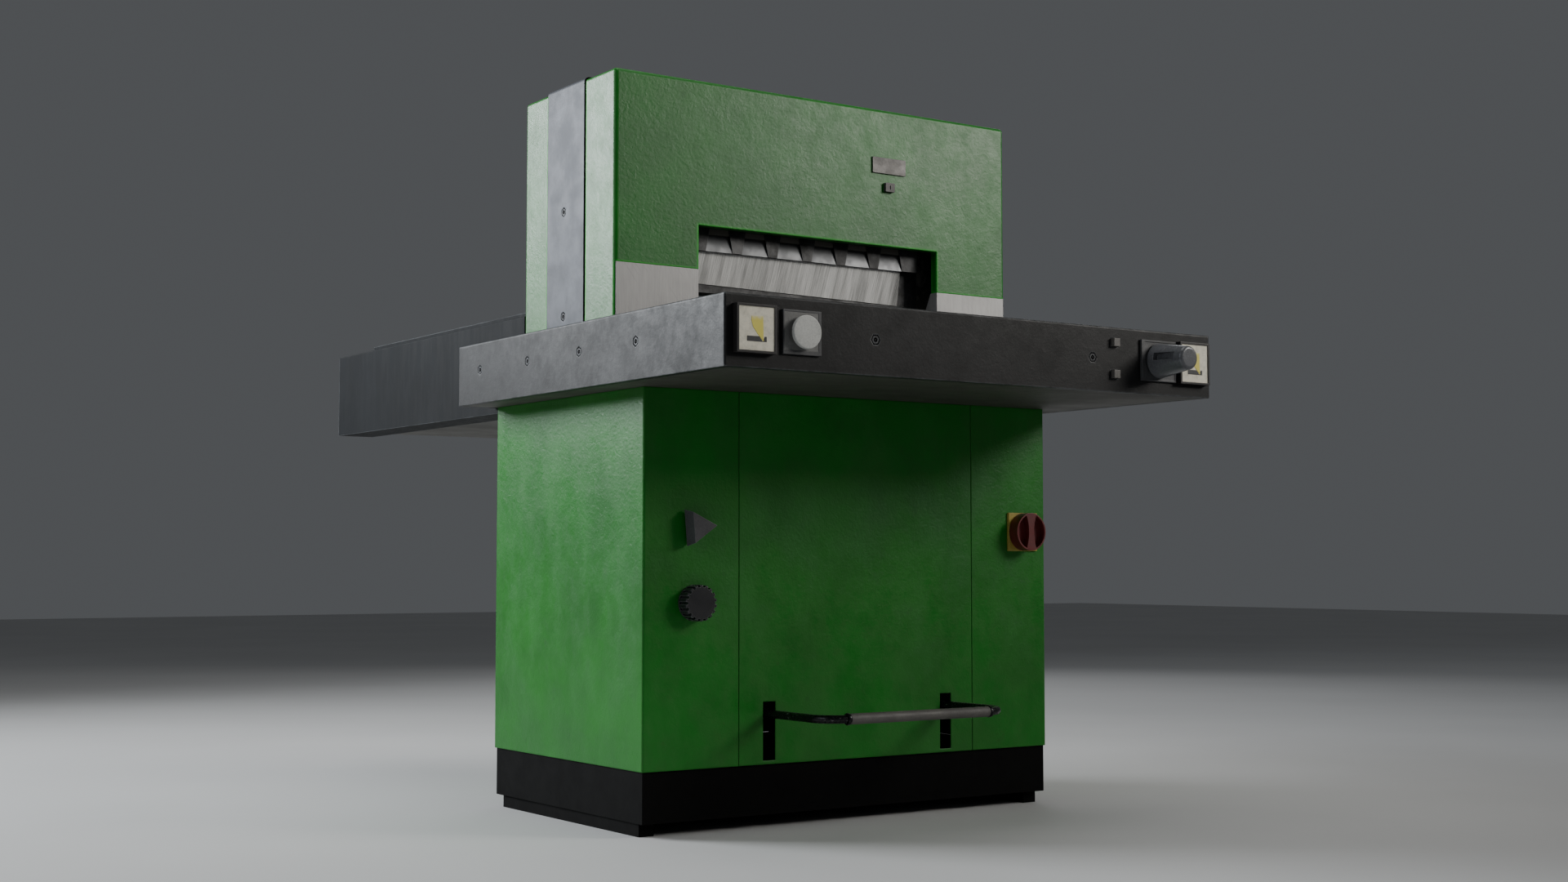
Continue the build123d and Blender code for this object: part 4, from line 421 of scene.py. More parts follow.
def jamb_steel(metal):
    """Pale satin steel with faint upright grain and hairline scratches."""
    f = Finish("jamb_steel")
    grain = f.noise(300.0, 4.0, 0.6, stretch=(1.0, 1.0, 0.07))
    scratches = f.noise(520.0, 2.0, 0.5, stretch=(1.0, 1.0, 0.03), turn=(0.0, math.radians(38.0), 0.0))
    clouds = f.noise(14.0, 5.0, 0.6)
    base = tuple(metal.jamb)
    colour = f.mix(f.span(grain, 0.30, 0.70), shade(base, 0.93), shade(base, 1.06))
    colour = f.mix(f.math("MULTIPLY", f.span(scratches, 0.64, 0.70), 0.35), colour, shade(base, 0.66))
    colour = f.mix(f.math("MULTIPLY", f.span(clouds, 0.5, 0.75), 0.15), colour, shade(base, 0.70))
    f.round(0.0012)
    f.bump(grain, 0.0002, 0.2)
    return f.set(colour, metallic=0.35, roughness=f.span(clouds, 0.3, 0.7, 0.42, 0.50))


def blade_steel(metal):
    """Ground blade: bright, with slightly leaning grinding marks of many widths, and a painted dark
    reflection towards its right end.
    """
    f = Finish("blade_steel")
    lean = (0.0, math.radians(-9.0), 0.0)
    marks = f.noise(520.0, 7.0, 0.85, stretch=(1.0, 0.05, 0.012), turn=lean)
    broad = f.noise(46.0, 4.0, 0.6, stretch=(1.0, 0.2, 0.10), turn=lean)
    base = tuple(metal.blade)
    tone = f.math("ADD", f.math("MULTIPLY", marks, 0.70), f.math("MULTIPLY", broad, 0.30))
    colour = f.mix(f.span(tone, 0.38, 0.62), shade(base, 0.52), shade(base, 1.14))
    # painted reflection: the blade darkens towards its right end, for a dark reflection there
    end = f.span(f.axis("X"), *BLADE_END)
    end_reflection = f.math("MULTIPLY", end, f.span(marks, 0.42, 0.56, 1.0, 0.55))
    colour = f.mix(f.math("MULTIPLY", end_reflection, 0.85), colour, shade(base, 0.16))
    f.bump(marks, 0.00022, 0.35)
    return f.set(colour, metallic=0.55, roughness=f.span(broad, 0.3, 0.7, 0.34, 0.44))


def wedge_steel():
    """Polished wedge steel, bluish and bright at the bottom and in shade towards its top."""
    f = Finish("wedge_steel")
    clouds = f.noise(48.0, 5.0, 0.62)
    height = f.axis("Z")
    shine = f.span(height, *WEDGE_SHADE, 1.0, 0.0)
    colour = f.mix(shine, (0.045, 0.048, 0.053), (0.155, 0.160, 0.168))
    colour = f.mix(f.math("MULTIPLY", f.span(clouds, 0.52, 0.70), 0.22), colour, (0.13, 0.135, 0.14))
    colour = f.mix(f.span(height, *WEDGE_RIM), colour, (0.22, 0.205, 0.18))
    f.bump(clouds, 0.0002, 0.12)
    return f.set(colour, metallic=0.30, roughness=f.span(clouds, 0.35, 0.65, 0.36, 0.50))


def cast_iron(name, base, metallic=0.3):
    """Dark, grainy iron with pale specks and rubbed edges."""
    f = Finish(name)
    skin = f.noise(190.0, 5.0, 0.65)
    stains = f.noise(22.0, 6.0, 0.7)
    colour = f.mix(f.span(stains, 0.35, 0.68), shade(base, 0.6), shade(base, 1.9))
    speck = f.math("MULTIPLY", f.span(skin, 0.60, 0.72), f.span(stains, 0.42, 0.62))
    colour = f.mix(speck, colour, shade(base, 5.0))
    colour = f.mix(f.math("MULTIPLY", f.edge(0.0016), 0.45), colour, shade(base, 6.0))
    f.round(0.0012)
    f.bump(skin, 0.0005, 0.6)
    return f.set(colour, metallic=metallic, roughness=f.span(stains, 0.3, 0.7, 0.58, 0.42))


def flat_paint(name, base, metallic=0.0, low=0.42, high=0.58, grain_size=300.0, depth=0.0003, worn=None,
               wear=0.5, edge=0.0012, specular=0.5):
    """Plain paint or plastic: cloudy, finely grained, and rubbed a little along its edges."""
    f = Finish(name)
    clouds = f.noise(18.0, 6.0, 0.65)
    grain = f.noise(grain_size, 4.0, 0.6)
    tone = f.math("ADD", f.math("MULTIPLY", clouds, 0.6), f.math("MULTIPLY", grain, 0.4))
    colour = f.mix(f.span(tone, 0.35, 0.66), shade(base, 0.80), shade(base, 1.22))
    colour = f.mix(f.math("MULTIPLY", f.edge(edge), wear), colour, worn or shade(base, 2.6))
    f.round(edge)
    f.bump(grain, depth, 0.45)
    return f.set(colour, metallic=metallic, roughness=f.span(clouds, 0.3, 0.7, high, low),
                 Specular_IOR_Level=specular)


def underside_sheet(base):
    """Warm grey sheet under the tables, with long faint rolling marks across it."""
    f = Finish("underside_sheet")
    rolling = f.noise(60.0, 5.0, 0.65, stretch=(0.07, 1.0, 1.0))
    clouds = f.noise(6.0, 5.0, 0.6)
    tone = f.math("ADD", f.math("MULTIPLY", rolling, 0.6), f.math("MULTIPLY", clouds, 0.4))
    colour = f.mix(f.span(tone, 0.36, 0.64), shade(base, 0.80), shade(base, 1.20))
    f.bump(rolling, 0.0003, 0.25)
    return f.set(colour, metallic=0.2, roughness=f.span(clouds, 0.3, 0.7, 0.66, 0.5))


def ground_steel(name, base, along=(1.0, 0.06, 1.0), low=0.24, high=0.4):
    """Bare steel with fine grinding marks along one direction."""
    f = Finish(name)
    marks = f.noise(210.0, 5.0, 0.66, stretch=along)
    clouds = f.noise(12.0, 6.0, 0.65)
    tone = f.math("ADD", f.math("MULTIPLY", marks, 0.5), f.math("MULTIPLY", clouds, 0.5))
    colour = f.mix(f.span(tone, 0.36, 0.64), shade(base, 0.86), shade(base, 1.10))
    stain = f.math("MULTIPLY", f.span(f.noise(55.0, 6.0, 0.7), 0.60, 0.74), 0.22)
    colour = f.mix(stain, colour, shade(base, 0.40))
    f.round(0.001)
    f.bump(marks, 0.0002, 0.3)
    return f.set(colour, metallic=0.9, roughness=f.span(clouds, 0.3, 0.7, low, high))


def sign_cream(signs):
    """Sign plate: matt cream, a little soiled."""
    f = Finish("sign_cream")
    soil = f.noise(60.0, 6.0, 0.68)
    grain = f.noise(520.0, 3.0, 0.5)
    base = tuple(signs.cream)
    colour = f.mix(f.span(soil, 0.40, 0.72), base, shade(base, 0.72))
    colour = f.mix(f.math("MULTIPLY", f.span(grain, 0.45, 0.7), 0.18), colour, shade(base, 1.3))
    f.bump(grain, 0.0001, 0.3)
    return f.set(colour, roughness=f.span(soil, 0.3, 0.7, 0.48, 0.62))


def sign_yellow(signs):
    """Yellow of the blade on the sign, worn pale towards its top."""
    f = Finish("sign_yellow")
    soil = f.noise(90.0, 6.0, 0.7)
    height = f.math("ADD", f.axis("Z"), f.math("MULTIPLY", f.math("SUBTRACT", soil, 0.5), 0.022))
    colour = f.mix(f.span(height, *SIGN_FADE), tuple(signs.yellow), shade(tuple(signs.cream), 0.98))
    colour = f.mix(f.math("MULTIPLY", f.span(soil, 0.55, 0.7), 0.25), colour, (0.50, 0.45, 0.26))
    return f.set(colour, roughness=f.span(soil, 0.3, 0.7, 0.44, 0.6))


def screw_paint():
    """Painted-over screws: grey faces, with painted shade in black on the walls and rims and as a rough black
    line round each head, for the shade in the recesses.
    """
    f = Finish("screw_grey")
    grain = f.noise(260.0, 4.0, 0.6)
    flat = f.node("NewGeometry").outputs["Normal"]
    facing = f.node("SeparateXYZ", {"Vector": flat})
    sideways = f.math("MAXIMUM", f.math("ABSOLUTE", facing.outputs["X"]),
                      f.math("ABSOLUTE", facing.outputs["Y"]))
    # painted shade: black on the head's rims and on every sideways wall, for the shade in the recess round
    # each head
    recess_shade = f.math("MAXIMUM", f.edge(0.0026, 0.03), f.span(sideways, 0.93, 0.985, 1.0, 0.0))
    colour = f.mix(f.span(grain, 0.35, 0.66), (0.060, 0.063, 0.068), (0.10, 0.105, 0.112))
    colour = f.mix(recess_shade, colour, (0.002, 0.002, 0.002))
    f.bump(grain, 0.0002, 0.3)
    return f.set(colour, roughness=f.span(recess_shade, 0.0, 1.0, 0.48, 1.0), Specular_IOR_Level=0.30)


def worn_tube():
    """Dark, once glossy tube with specks of bare metal where shoes rub it."""
    f = Finish("worn_tube")
    chips = f.noise(240.0, 6.0, 0.7)
    zones = f.noise(16.0, 3.0, 0.5)
    bare = f.math("MULTIPLY", f.span(chips, 0.58, 0.64), f.span(zones, 0.46, 0.6))
    colour = f.mix(bare, (0.010, 0.010, 0.011), (0.28, 0.28, 0.27))
    f.bump(chips, 0.0003, 0.4)
    return f.set(colour, metallic=0.55, roughness=f.span(chips, 0.35, 0.7, 0.20, 0.42))


# ---------------------------------------------------------------- shapes
def piece(name, vertices, faces, material, body, smooth=True):
    """Make a mesh piece from arrays, close its seams, turn its faces outwards, and let it ride on a body."""
    mesh = bpy.data.meshes.new(name)
    mesh.from_pydata(np.asarray(vertices, float).reshape(-1, 3).tolist(), [], np.asarray(faces).tolist())
    work = bmesh.new()
    work.from_mesh(mesh)
    bmesh.ops.remove_doubles(work, verts=work.verts, dist=1e-6)
    bmesh.ops.dissolve_degenerate(work, edges=work.edges, dist=1e-7)
    bmesh.ops.recalc_face_normals(work, faces=work.faces)
    work.to_mesh(mesh)
    work.free()
    mesh.polygons.foreach_set("use_smooth", np.full(len(mesh.polygons), smooth))
    mesh.materials.append(material)
    made = bpy.data.objects.new(name, mesh)
    bpy.context.scene.collection.objects.link(made)
    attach(made, body)
    return made


def grid_faces(rows, columns, around_rows=False, around_columns=False):
    """Quads of a grid of rows by columns points; a wrapped direction joins its last line to its first."""
    i = np.arange(rows if around_rows else rows - 1)[:, None]
    j = np.arange(columns if around_columns else columns - 1)[None, :]
    i2 = (i + 1) % rows
    j2 = (j + 1) % columns
    corners = [i * columns + j, i * columns + j2, i2 * columns + j2, i2 * columns + j]
    return np.stack([np.broadcast_to(c, (i.size, j.size)) for c in corners], -1).reshape(-1, 4)


def joined(parts):
    """Several (vertices, faces) pairs as one."""
    vertices, faces, start = [], [], 0
    for points, quads in parts:
        points = np.asarray(points, float).reshape(-1, 3)
        vertices.append(points)
        faces.append(np.asarray(quads) + start)
        start += len(points)
    return np.concatenate(vertices), np.concatenate(faces)


def low_relief(strips, back, front, edge):
    """Flat shape made of strips, standing on a wall that faces -Y.

    Each strip is a grid of (x, z) points: left edge to right edge by top to bottom. Its front is at y =
    front, and its rim slopes back to y = back over a width of edge: point = centre + (point - centre) * s,
    with s slightly over 1 at the back.
    """
    def rim(points, y):
        loop = np.concatenate([points[0, :-1], points[:-1, -1], points[-1, :0:-1], points[:0:-1, 0]])
        return np.stack([loop[:, 0], np.full(len(loop), y), loop[:, 1]], -1)

    parts = []
    for strip in strips:
        strip = np.asarray(strip, float)
        rows, columns = strip.shape[:2]
        middle = strip.reshape(-1, 2).mean(0)
        span = np.ptp(strip.reshape(-1, 2), axis=0).min()
        wide = middle + (strip - middle) * (1 + 2 * edge / span)
        face = np.stack([strip[..., 0], np.full((rows, columns), front), strip[..., 1]], -1)
        parts.append((face, grid_faces(rows, columns)))
        ring = np.stack([rim(wide, back), rim(strip, front)])
        parts.append((ring, grid_faces(2, ring.shape[1], around_columns=True)))
        base = np.stack([wide[..., 0], np.full((rows, columns), back), wide[..., 1]], -1)
        parts.append((base, grid_faces(rows, columns)[:, ::-1]))
    return joined(parts)


def turned(profile, centre, around=48):
    """Surface of revolution: (along, radius) points of a closed profile turned about the X axis."""
    profile = np.asarray(profile, float)
    angle = np.linspace(0, 2 * math.pi, around, endpoint=False)
    along = np.broadcast_to(profile[:, 0][:, None], (len(profile), around))
    side = profile[:, 1][:, None] * np.cos(angle)[None, :]
    up = profile[:, 1][:, None] * np.sin(angle)[None, :]
    points = np.stack([along, side, up], -1) + np.asarray(centre, float)
    return points, grid_faces(len(profile), around, around_rows=True, around_columns=True)


# ---------------------------------------------------------------- operators
class GUILLOTINE_OT_covers(Operator):
    """Put green enamel on the covers and the cabinet's panels"""
    bl_idname = "guillotine.covers"
    bl_label = "Covers and panels"

    def execute(self, context):
        material = green_enamel(context.scene.guillotine_paint)
        dress(material, "front_cover", "rear_cover", "side_panel_left", "side_panel_right", "front_panel",
              "rear_panel")
        dress(flat_paint("blank_plate", (0.13, 0.125, 0.12), 0.5, worn=(0.05, 0.16, 0.06)), "name_plate")
        dress(flat_paint("lock_steel", (0.075, 0.071, 0.069), 0.3, worn=(0.30, 0.30, 0.29)), "head_lock")
        return {"FINISHED"}


class GUILLOTINE_OT_base(Operator):
    """Finish the plinth, the skids and the stand's frame"""
    bl_idname = "guillotine.base"
    bl_label = "Plinth and frame"

    def execute(self, context):
        metal = context.scene.guillotine_metal
        black = tuple(metal.plinth)
        dress(flat_paint("plinth_black", black, low=0.5, high=0.68, worn=shade(black, 2.2), specular=0.08),
              "plinth", "skids")
        dress(flat_paint("frame_grey", (0.05, 0.055, 0.06), 0.2), "stand_frame", "pedal_brackets")
        dress(underside_sheet(tuple(metal.underside)), "underside_pans")
        return {"FINISHED"}


class GUILLOTINE_OT_tables(Operator):
    """Finish the work table, its stick and its screws"""
    bl_idname = "guillotine.tables"
    bl_label = "Work table"

    def execute(self, context):
        metal = context.scene.guillotine_metal
        dress(table_paint(metal), "table")
        dress(flat_paint("stick_plastic", (0.60, 0.57, 0.49)), "cutting_stick")
        dress(screw_paint(), "frame_screws")
        return {"FINISHED"}


class GUILLOTINE_OT_portal(Operator):
    """Finish the portal band, the side beams, their strips and the jamb plates"""
    bl_idname = "guillotine.portal"
    bl_label = "Portal and side beams"

    def execute(self, context):
        metal = context.scene.guillotine_metal
        dress(band_steel(metal), "yoke")
        dress(beam_steel(metal), "side_beam_left", "side_beam_right", "rail_strips")
        dress(jamb_steel(metal), "jamb_plates")
        return {"FINISHED"}


class GUILLOTINE_OT_knife(Operator):
    """Finish the blade, its beam, its wedges, its guides and its cylinder"""
    bl_idname = "guillotine.knife"
    bl_label = "Knife"

    def execute(self, context):
        metal = context.scene.guillotine_metal
        dress(blade_steel(metal), "knife_blade")
        dress(wedge_steel(), "knife_wedges")
        dress(cast_iron("knife_iron", tuple(metal.iron)), "knife_beam")
        # painted light: the guides' iron is the knife beam's iron made four times lighter, to lift them out
        # of the shade inside the window
        dress(cast_iron("guide_iron_painted_light", shade(metal.iron, 4.0)), "knife_guides")
        dress(ground_steel("bolt_steel", (0.30, 0.30, 0.30)), "knife_bolts", "knife_shoe")
        dress(flat_paint("ram_grey", (0.09, 0.10, 0.115), 0.3), "knife_cylinder", "clamp_cylinder")
        return {"FINISHED"}


class GUILLOTINE_OT_clamp(Operator):
    """Finish the clamp, its drawbars and its springs"""
    bl_idname = "guillotine.clamp"
    bl_label = "Clamp"

    def execute(self, context):
        dress(cast_iron("clamp_iron", (0.040, 0.040, 0.041)), "clamp_beam", "clamp_crosshead")
        dress(ground_steel("rod_steel", (0.55, 0.56, 0.58), along=(1.0, 1.0, 0.05), low=0.12, high=0.22),
              "clamp_drawbars", "knife_piston_rod")
        sizes = context.scene.guillotine_screw
        low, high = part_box("clamp_springs")
        reach = (high.y - low.y) / 2
        share = np.linspace(0, 1, sizes.coils * COIL_STEPS + 1)[:, None]
        around = np.linspace(0, 2 * math.pi, WIRE_SIDES, endpoint=False)[None, :]
        turn = 2 * math.pi * sizes.coils * share
        # wire: a circle of radius wire, carried round a circle and up by the same rise in every turn; its
        # ends are closed by a ring with no radius
        wire = np.concatenate([[[0.0]], np.full((len(share), 1), sizes.wire), [[0.0]]])
        turn = np.concatenate([turn[:1], turn, turn[-1:]])
        rise = np.concatenate([share[:1], share, share[-1:]])
        distance = reach - sizes.wire + wire * np.cos(around)
        z = low.z + sizes.wire + (high.z - low.z - 2 * sizes.wire) * rise + wire * np.sin(around)
        parts = []
        y = (low.y + high.y) / 2 + distance * np.sin(turn)
        for centre in (low.x + reach, high.x - reach):
            points = np.stack([centre + distance * np.cos(turn), y, z], -1)
            parts.append((points, grid_faces(*z.shape, around_columns=True)))
        vertices, faces = joined(parts)
        steel = ground_steel("spring_steel", (0.17, 0.17, 0.18), low=0.3, high=0.45)
        coils = piece("clamp_spring_coils", vertices, faces, steel, "stand")
        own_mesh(coils)
        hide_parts("clamp_springs")
        return {"FINISHED"}


class GUILLOTINE_OT_rear(Operator):
    """Finish the rear table, the backgauge and its drive"""
    bl_idname = "guillotine.rear"
    bl_label = "Rear table"

    def execute(self, context):
        dress(ground_steel("plate_steel", (0.30, 0.305, 0.31), along=(0.06, 1.0, 1.0), low=0.36, high=0.42),
              "rear_table")
        dress(ground_steel("gauge_steel", (0.42, 0.425, 0.43), along=(0.06, 1.0, 1.0)), "backgauge")
        dress(ground_steel("bronze", (0.42, 0.26, 0.09), low=0.3, high=0.45), "screw_nut")
        dress(cast_iron("bearing_iron", (0.05, 0.052, 0.055)), "screw_bearings")
        dress(flat_paint("motor_grey", (0.075, 0.09, 0.11), 0.2), "backgauge_motor")
        return {"FINISHED"}


class GUILLOTINE_OT_lead_screw(Operator):
    """Cut the lead screw's thread between its plain ends"""
    bl_idname = "guillotine.lead_screw"
    bl_label = "Lead screw"

    def execute(self, context):
        sizes = context.scene.guillotine_screw
        low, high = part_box("lead_screw")
        radius = (high.x - low.x) / 2
        centre_z = (low.z + high.z) / 2
        rows = int((high.y - low.y) / sizes.pitch * sizes.steps)
        y = np.linspace(low.y, high.y, rows)[:, None]
        angle = np.linspace(0, 2 * math.pi, SCREW_SIDES, endpoint=False)[None, :]
        # radius falls by depth where the phase y / pitch - angle / turn is in the groove part of each pitch
        phase = (y / sizes.pitch - angle / (2 * math.pi)) % 1.0
        crest = np.clip((np.abs(phase - 0.5) - THREAD_BOTTOM) / THREAD_FLANK, 0, 1)
        inside = np.minimum(y - (low.y + THREAD_START), (high.y - THREAD_STOP) - y)
        cut = np.clip(inside / THREAD_RUNOUT, 0, 1)
        r = radius - sizes.depth * (1 - crest) * cut
        points = np.stack([r * np.cos(angle), y + 0 * angle, centre_z + r * np.sin(angle)], -1)
        tips = [np.broadcast_to([0, row[0, 1], centre_z], (1, SCREW_SIDES, 3))
                for row in (points[0], points[-1])]
        points = np.concatenate([tips[0], points, tips[1]])
        steel = ground_steel("thread_steel", (0.50, 0.50, 0.50), along=(1.0, 0.3, 1.0), low=0.18, high=0.32)
        faces = grid_faces(rows + 2, SCREW_SIDES, around_columns=True)
        made = piece("lead_screw_thread", points, faces, steel, "lead_screw")
        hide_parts("lead_screw")
        return {"FINISHED"}


class GUILLOTINE_OT_louvres(Operator):
    """Press hoods over the rear panel's slots"""
    bl_idname = "guillotine.louvres"
    bl_label = "Louvres"

    def execute(self, context):
        sizes = context.scene.guillotine_louvres
        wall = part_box("rear_panel")[1].y
        parts = []
        across = np.linspace(-1, 1, HOOD_COLUMNS)[:, None]
        down = np.linspace(0, 1, HOOD_ROWS)[None, :]
        for row in range(sizes.count):
            top = sizes.top - row * sizes.pitch + HOOD_OVER_SLOT
            # hood: x = half width * across; height falls with down; it stands out by
            # reach * sin(down * 90 degrees), faded at both ends by sqrt(1 - across^12). Its outer skin and
            # its lining make one loop at each across, and each end of the hood is closed at a point
            fade = np.sqrt(np.clip(1 - across ** 12, 0, 1))
            skins = []
            for inner in (0.0, HOOD_SHEET):
                x = across * (sizes.width / 2 - inner) + 0 * down
                z = top - inner - down * (sizes.height - inner) + 0 * across
                y = wall + (sizes.reach - inner) * np.sin(down * math.pi / 2) * fade
                skins.append(np.stack([x, y, z], -1))
            loops = np.concatenate([skins[0], skins[1][:, ::-1]], 1)
            ends = [np.broadcast_to(loop.mean(0), (1, *loop.shape)) for loop in (loops[0], loops[-1])]
            loops = np.concatenate([ends[0], loops, ends[1]])
            parts.append((loops, grid_faces(*loops.shape[:2], around_columns=True)))
        vertices, faces = joined(parts)
        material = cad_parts["rear_panel"].data.materials[0]
        piece("louvre_hoods", vertices, faces, material, "stand")
        return {"FINISHED"}


class GUILLOTINE_OT_signs(Operator):
    """Finish the sign frames and draw the blade and the notched bar on each plate"""
    bl_idname = "guillotine.signs"
    bl_label = "Signs"

    def execute(self, context):
        signs = context.scene.guillotine_signs
        dress(flat_paint("sign_frame", (0.020, 0.018, 0.018), 0.1, 0.32, 0.45, worn=(0.10, 0.095, 0.09)),
              "sign_frames")
        dress(sign_cream(signs), "sign_plates")
        low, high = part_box("sign_plates")
        face = low.y
        lefts = (low.x, high.x - SIGN_FIELD)
        yellow = sign_yellow(signs)
        ink = flat_paint("sign_ink", tuple(signs.ink), low=0.4, high=0.55)

        def at(points, left):
            return [[(left + u * SIGN_SHARE * MM, high.z - v * MM) for u, v in row] for row in points]

        # millimetres to the right of the plate's left edge and down from its top
        blade = [[(25.0, 15.5), (36.5, 15.2), (48.0, 15.0)], [(25.4, 24.0), (37.0, 24.0), (48.0, 24.0)],
                 [(28.6, 33.0), (38.4, 33.0), (48.2, 33.0)], [(36.4, 42.5), (42.4, 42.5), (48.4, 42.5)],
                 [(44.8, 51.0), (46.8, 51.2), (48.8, 51.4)], [(47.8, 54.0), (48.4, 54.1), (49.0, 54.2)]]
        bar_left = [[(16.5, 47.2), (30.0, 47.2), (40.6, 47.2)], [(16.5, 55.6), (30.0, 55.6), (47.2, 55.6)]]
        bar_right = [[(51.4, 47.2), (53.2, 47.2), (55.2, 47.2)],
                     [(47.2, 55.6), (51.0, 55.6), (55.2, 55.6)]]
        for side, left in zip(("left", "right"), lefts):
            vertices, faces = low_relief([at(blade, left)], face + SINK, face - signs.proud * 1.6, 0.0002)
            piece("sign_blade_" + side, vertices, faces, yellow, "stand", smooth=False)
            strips = [at(bar_left, left), at(bar_right, left)]
            vertices, faces = low_relief(strips, face + SINK, face - signs.proud, 0.0001)
            piece("sign_bar_" + side, vertices, faces, ink, "stand", smooth=False)
        return {"FINISHED"}


class GUILLOTINE_OT_controls(Operator):
    """Finish the buttons, the knobs, their plates and the main switch"""
    bl_idname = "guillotine.controls"
    bl_label = "Controls"

    def execute(self, context):
        dress(flat_paint("control_plate", (0.062, 0.063, 0.066), 0.1, 0.4, 0.55), "button_plates")
        dress(flat_paint("button_grey", (0.52, 0.525, 0.50), 0.0, 0.42, 0.6, worn=(0.75, 0.75, 0.71)),
              "cut_button")
        dress(flat_paint("knob_gloss", (0.13, 0.134, 0.145), 0.15, 0.20, 0.30, worn=(0.42, 0.43, 0.45)),
              "cut_knob")
        dress(flat_paint("light_grey", (0.115, 0.108, 0.10), 0.0, 0.4, 0.55), "light_button_upper",
              "light_button_lower")
        dress(flat_paint("control_black", (0.072, 0.071, 0.076), 0.1, 0.38, 0.52, worn=(0.26, 0.255, 0.26)),
              "triangle_button")
        dress(flat_paint("toothed_black", (0.018, 0.018, 0.020), 0.0, 0.30, 0.42, worn=(0.24, 0.24, 0.25),
                         wear=0.8), "pressure_knob")
        dress(flat_paint("switch_yellow", (0.40, 0.31, 0.05), 0.0, 0.4, 0.56, worn=(0.58, 0.50, 0.16)),
              "switch_plate")
        dress(flat_paint("switch_red", (0.135, 0.018, 0.018), 0.0, 0.32, 0.48, worn=(0.30, 0.10, 0.09)),
              "switch_knob")
        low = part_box("button_plates")[0]
        face = low.y + FIELD_DEPTH
        left, right = (low.x + x for x in FIELD_X)
        bottom, top = (low.z + z for z in FIELD_Z)
        u = np.linspace(0, 1, FIELD_LINES)[:, None]
        v = np.linspace(0, 1, FIELD_LINES)[None, :]
        grid = np.stack([left + (right - left) * u + 0 * v, top + (bottom - top) * v + 0 * u], -1)
        vertices, faces = low_relief([np.transpose(grid, (1, 0, 2))], face + SINK, face - 0.0004, 0.0001)
        field = flat_paint("button_field", (0.16, 0.16, 0.155), 0.0, 0.45, 0.6)
        piece("button_field_plate", vertices, faces, field, "stand", smooth=False)
        return {"FINISHED"}


class GUILLOTINE_OT_pedal(Operator):
    """Finish the pedal and put a collar at each end of its sleeve"""
    bl_idname = "guillotine.pedal"
    bl_label = "Pedal"

    def execute(self, context):
        tube = worn_tube()
        dress(tube, "pedal_tube", "pedal_shaft")
        dress(flat_paint("sleeve_grey", (0.115, 0.108, 0.10), 0.0, 0.5, 0.66, grain_size=420.0),
              "pedal_sleeve")
        low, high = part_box("pedal_sleeve")
        radius = (high.z - low.z) / 2
        centre = (0.0, (low.y + high.y) / 2, (low.z + high.z) / 2)
        parts = []
        for x, way in ((low.x, -1), (high.x, 1)):
            # ring: a rounded rectangle between the tube and a little over the sleeve's radius
            turn = np.linspace(0, 2 * math.pi, COLLAR_SIDES, endpoint=False)
            along = x + way * 0.0035 + 0.003 * np.sign(np.cos(turn)) * np.abs(np.cos(turn)) ** 0.5
            across = radius - 0.0006 + 0.0018 * np.sign(np.sin(turn)) * np.abs(np.sin(turn)) ** 0.5
            parts.append(turned(np.stack([along, across], -1), centre))
        vertices, faces = joined(parts)
        piece("pedal_collars", vertices, faces, tube, "pedal")
        return {"FINISHED"}


class GUILLOTINE_OT_power(Operator):
    """Finish the oil tank, the pump, its motor and the control box inside the cabinet"""
    bl_idname = "guillotine.power"
    bl_label = "Power unit"

    def execute(self, context):
        dress(flat_paint("unit_blue", (0.055, 0.085, 0.14), 0.2, grain_size=120.0, depth=0.0008), "oil_tank",
              "pump", "pump_motor", "foot_valve")
        dress(ground_steel("rotor_steel", (0.28, 0.28, 0.28)), "motor_rotor")
        dress(flat_paint("box_grey", (0.32, 0.33, 0.325)), "control_box")
        return {"FINISHED"}


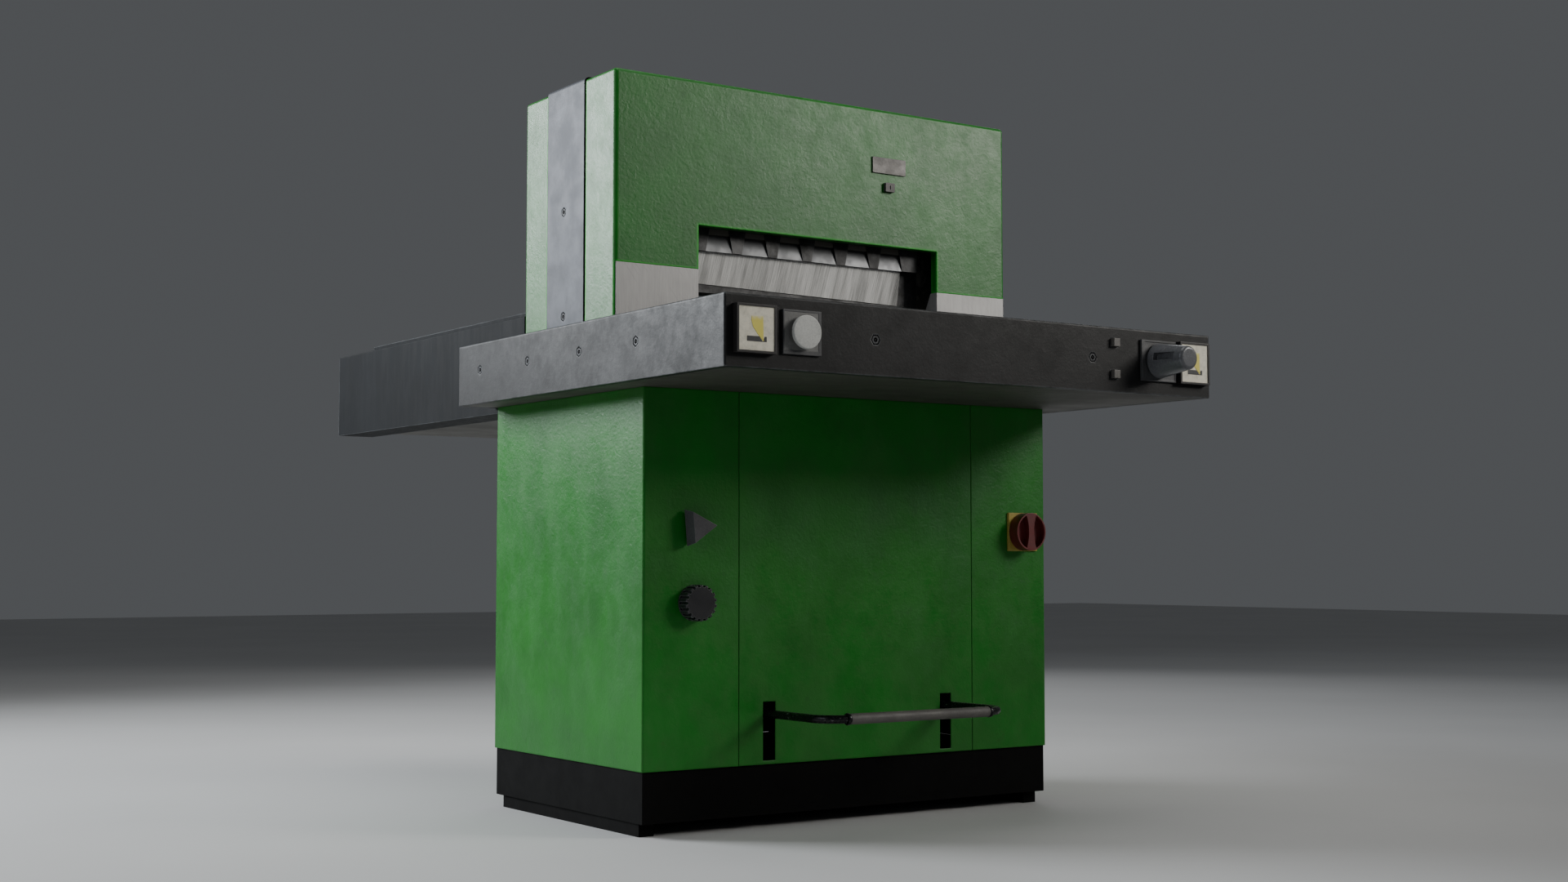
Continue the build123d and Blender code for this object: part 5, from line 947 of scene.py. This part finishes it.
class GUILLOTINE_OT_stage(Operator):
    """Lay the floor and place the lights and the camera"""
    bl_idname = "guillotine.stage"
    bl_label = "Stage"

    def execute(self, context):
        sizes = context.scene.guillotine_stage
        scene = context.scene
        f = Finish("floor_matt")
        clouds = f.noise(1.2, 4.0, 0.5)
        base = tuple(sizes.floor)
        f.set(f.mix(f.span(clouds, 0.3, 0.7), shade(base, 0.97), shade(base, 1.02)), roughness=0.85)
        u = np.linspace(-1, 1, FLOOR_LINES) * FLOOR_HALF
        across, along = np.meshgrid(u, u, indexing="ij")
        points = np.stack([across, along, 0 * across], -1).reshape(-1, 3)
        mesh = bpy.data.meshes.new("floor")
        mesh.from_pydata(points.tolist(), [], grid_faces(FLOOR_LINES, FLOOR_LINES)[:, ::-1].tolist())
        mesh.materials.append(f.material)
        floor = bpy.data.objects.new("floor", mesh)
        scene.collection.objects.link(floor)

        world = bpy.data.worlds.new("soft_room")
        world.use_nodes = True
        background = next(n for n in world.node_tree.nodes if n.type == "BACKGROUND")
        background.inputs["Color"].default_value = (0.88, 0.92, 0.97, 1.0)
        background.inputs["Strength"].default_value = sizes.ambient
        scene.world = world

        # name, power, place, aim, width, height, spread in degrees, colour
        lights = (
            ("key_left", sizes.key, (-4.4, -0.9, 2.6), (0.0, 0.2, 0.5), 2.2, 2.2, 180.0, (0.90, 0.95, 1.0)),
            ("glance_left", sizes.glance, (-3.3, 3.1, 2.5), (-0.4, -0.2, 1.1), 2.2, 2.1, 110.0,
             (0.92, 0.96, 1.0)),
            ("glance_right", sizes.fill, (3.1, -3.3, 2.7), (0.2, -0.3, 1.3), 1.9, 1.7, 60.0,
             (1.0, 0.97, 0.92)),
            ("top", sizes.top, (0.0, -0.4, 4.4), (0.0, 0.0, 0.9), 2.6, 2.6, 120.0, (1.0, 0.99, 0.97)),
            ("back_right", sizes.top, (3.2, 3.4, 2.6), (0.0, 0.2, 0.7), 2.4, 2.0, 150.0, (0.97, 0.98, 1.0)),
        )
        for name, power, spot, aim, width, height, spread, tint in lights:
            lamp = bpy.data.lights.new(name, "AREA")
            lamp.energy = power
            lamp.shape = "RECTANGLE"
            lamp.size = width
            lamp.size_y = height
            lamp.spread = math.radians(spread)
            lamp.color = tint
            holder = bpy.data.objects.new(name, lamp)
            holder.location = spot
            way = np.array(aim) - np.array(spot)
            pitch = math.atan2(math.hypot(way[0], way[1]), -way[2])
            holder.rotation_euler = (pitch, 0.0, math.atan2(-way[0], way[1]))
            scene.collection.objects.link(holder)

        camera = bpy.data.cameras.new("camera")
        camera.lens = sizes.lens
        camera.sensor_width = 36.0
        camera.clip_end = 100.0
        holder = bpy.data.objects.new("camera", camera)
        holder.location = CAMERA_PLACE
        holder.rotation_euler = (math.radians(CAMERA_PITCH), 0.0, math.radians(CAMERA_HEADING))
        scene.collection.objects.link(holder)
        scene.camera = holder
        return {"FINISHED"}


STEPS = (
    GUILLOTINE_OT_covers,
    GUILLOTINE_OT_base,
    GUILLOTINE_OT_tables,
    GUILLOTINE_OT_portal,
    GUILLOTINE_OT_knife,
    GUILLOTINE_OT_clamp,
    GUILLOTINE_OT_rear,
    GUILLOTINE_OT_lead_screw,
    GUILLOTINE_OT_louvres,
    GUILLOTINE_OT_signs,
    GUILLOTINE_OT_controls,
    GUILLOTINE_OT_pedal,
    GUILLOTINE_OT_power,
    GUILLOTINE_OT_stage,
)


class GUILLOTINE_PT_panel(Panel):
    """Buttons for every step and the sizes they use"""
    bl_idname = "GUILLOTINE_PT_panel"
    bl_label = "Paper Guillotine"
    bl_space_type = "VIEW_3D"
    bl_region_type = "UI"
    bl_category = "Guillotine"

    def draw(self, context):
        for step in STEPS:
            self.layout.operator(step.bl_idname)
        for name, group in GROUPS.items():
            box = self.layout.box()
            box.label(text=group.__doc__)
            for prop in group.__annotations__:
                box.prop(getattr(context.scene, name), prop)


def register():
    """Register the groups, the operators and the panel."""
    for name, group in GROUPS.items():
        bpy.utils.register_class(group)
        setattr(bpy.types.Scene, name, PointerProperty(type=group))
    for step in (*STEPS, GUILLOTINE_PT_panel):
        bpy.utils.register_class(step)


def unregister():
    """Take everything out again."""
    for step in reversed((*STEPS, GUILLOTINE_PT_panel)):
        bpy.utils.unregister_class(step)
    for name, group in GROUPS.items():
        delattr(bpy.types.Scene, name)
        bpy.utils.unregister_class(group)


def main():
    """Run every step."""
    register()
    for step in STEPS:
        group, name = step.bl_idname.split(".")
        getattr(getattr(bpy.ops, group), name)()


if __name__ == "__main__":
    main()
